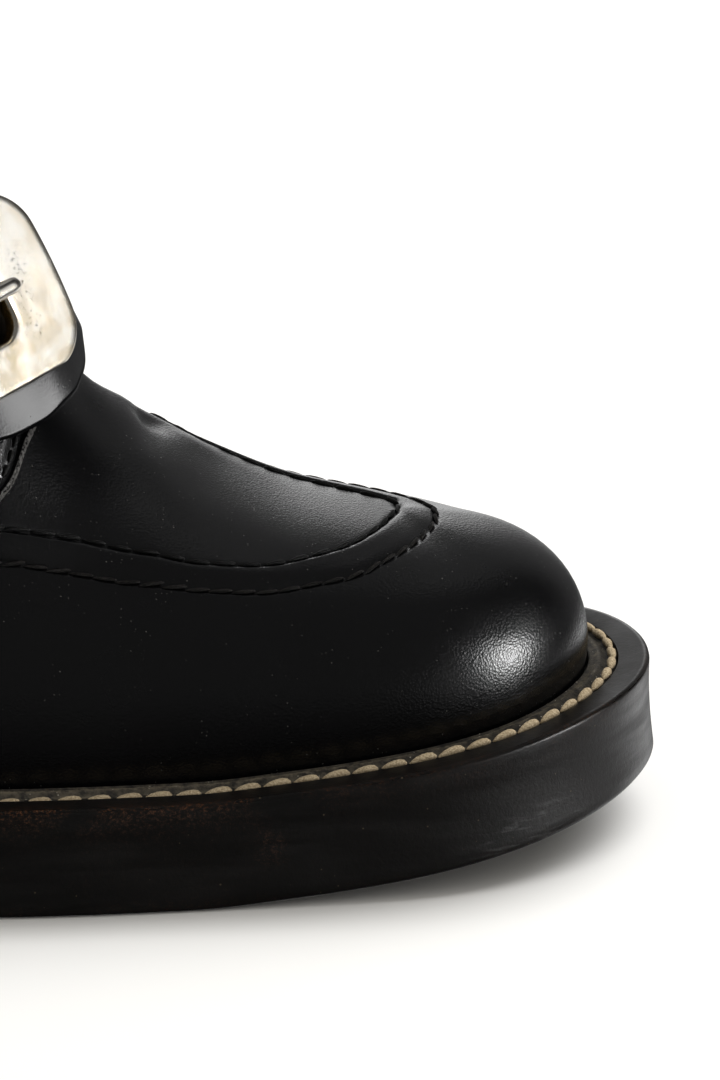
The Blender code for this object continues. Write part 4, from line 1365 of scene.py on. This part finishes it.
# What the leather mirrors: way round (degrees from the toe towards +Y) and height (degrees), each as two ends
# and the softness of its edges
panels = {
    "key": {"level": 9.5, "way": (-27.0, -7.0, 5.0), "height": (-2.0, 22.0, 6.0)},
    "back": {"level": 0.98, "way": (81.0, 200.0, 8.0), "height": (-40.0, 23.0, 6.0)},
    "backGlow": {"level": 0.08, "way": (50.0, 200.0, 12.0), "height": (0.0, 60.0, 15.0)},
    "rightGlow": {"level": 0.90, "way": (-8.0, 9.0, 6.0), "height": (0.0, 38.0, 6.0)},
    "keyCore": {"level": 36.0, "way": (-18.0, -9.0, 4.0), "height": (6.0, 17.0, 4.0)},
    "keyTail": {"level": 0.42, "way": (-54.0, -25.0, 9.0), "height": (-9.0, 11.0, 5.0)},
    "tip": {"level": 0.62, "way": (83.0, 115.0, 3.0), "height": (0.0, 26.0, 4.0)},
    "toeFloor": {"level": 1.5, "way": (38.0, 62.0, 6.0), "height": (-36.0, -13.0, 4.0)},
    "darkGap": {"level": -0.09, "way": (14.0, 50.0, 8.0), "height": (8.0, 60.0, 12.0)},
    "overGlow": {"level": 0.30, "way": (38.0, 60.0, 6.0), "height": (53.0, 70.0, 5.0)},
    "farFloor": {"level": 0.75, "way": (16.0, 70.0, 10.0), "height": (-46.0, -13.0, 5.0)},
}


def makeFloor():
    half = studio["floorSize"] / 2
    mesh = bpy.data.meshes.new("floor")
    corners = [(-half, -half, 0), (half, -half, 0), (half, half, 0), (-half, half, 0)]
    mesh.from_pydata(corners, [], [(0, 1, 2, 3)])
    look, tree, where = newLook("floorPaper")
    tone = blendTone(tree, noise(tree, where, 300.0), studio["floorTone"], studio["floorCloud"])
    mesh.materials.append(finishLook(look, {"Base Color": tone, "Roughness": 0.9, "Specular IOR Level": 0.0}))
    floor = bpy.data.objects.new("floor", mesh)
    floor.visible_glossy = False
    bpy.context.scene.collection.objects.link(floor)


# White to the camera, ambient light for the floor, and the panels for what mirrors them
def makeWorld():
    world = bpy.data.worlds.new("studio")
    bpy.context.scene.world = world
    world.use_nodes = True
    tree = world.node_tree
    tree.nodes.clear()
    direction = addNode(tree, "ShaderNodeTexCoord").outputs["Generated"]
    split = addNode(tree, "ShaderNodeSeparateXYZ", {0: direction}).outputs
    way = calc(tree, "DEGREES", calc(tree, "ARCTAN2", split[1], split[0]))
    height = calc(tree, "DEGREES", calc(tree, "ARCSINE", split[2]))

    def window(value, low, high, soft):
        fadeIn = ease(tree, value, low - soft, low + soft)
        return times(tree, fadeIn, ease(tree, value, high + soft, high - soft))

    mirrored = ease(tree, height, -14.0, 2.0, (studio["frontFloor"], studio["cameraSide"]))
    for panel in panels.values():
        shape = times(tree, window(way, *panel["way"]), window(height, *panel["height"]))
        mirrored = calc(tree, "ADD", mirrored, times(tree, shape, panel["level"]))
    ray = addNode(tree, "ShaderNodeLightPath").outputs
    wires = {0: ray["Is Glossy Ray"], 2: studio["ambient"], 3: mirrored}
    level = addNode(tree, "ShaderNodeMix", wires).outputs[0]
    level = calc(tree, "MAXIMUM", level, ray["Is Camera Ray"])
    tone = blendTone(tree, ray["Is Diffuse Ray"], (1, 1, 1, 1), studio["ambientTone"])
    sky = addNode(tree, "ShaderNodeBackground", {"Color": tone, "Strength": level})
    addNode(tree, "ShaderNodeOutputWorld", {0: sky.outputs[0]})


def areaLamp(name, power, wide, tall, at, aim):
    lightData = bpy.data.lights.new(name, "AREA")
    lightData.energy = power
    lightData.shape = "RECTANGLE"
    lightData.size = wide
    lightData.size_y = tall
    light = bpy.data.objects.new(name, lightData)
    light.location = at
    light.rotation_euler = (Vector(aim) - Vector(at)).to_track_quat("-Z", "Y").to_euler()
    light.visible_camera = False
    bpy.context.scene.collection.objects.link(light)
    return light


def makeLights():
    main = areaLamp("lamp", lamp["power"], lamp["size"], lamp["size"], lamp["at"], lamp["aim"])
    main.visible_glossy = False
    # a soft panel that only the strap mirrors
    way, height = math.radians(strapLamp["way"]), math.radians(strapLamp["height"])
    aim = Vector(strapLamp["aim"])
    at = aim + Vector((math.cos(height) * math.cos(way), math.cos(height) * math.sin(way), math.sin(height)))
    soft = areaLamp("strapPanel", strapLamp["power"], strapLamp["wide"], strapLamp["tall"], at, aim)
    lit = bpy.data.collections.new("strapOnly")
    lit.objects.link(bpy.data.objects["instep_strap"])
    soft.light_linking.receiver_collection = lit


def makeCamera():
    lift = math.radians(studio["elevationDeg"])
    back = Vector((0.0, -math.cos(lift), math.sin(lift)))
    camera = bpy.data.objects.new("camera", bpy.data.cameras.new("camera"))
    camera.data.lens = studio["lens"]
    camera.data.sensor_width = 36.0
    camera.location = Vector(studio["target"]) * mm + back * studio["distance"] * mm
    camera.rotation_euler = (-back).to_track_quat("-Z", "Y").to_euler()
    bpy.context.scene.collection.objects.link(camera)
    bpy.context.scene.camera = camera
    bpy.context.scene.view_settings.view_transform = "Standard"


makeFloor()
makeWorld()
makeLights()
makeCamera()
print("studio ready")
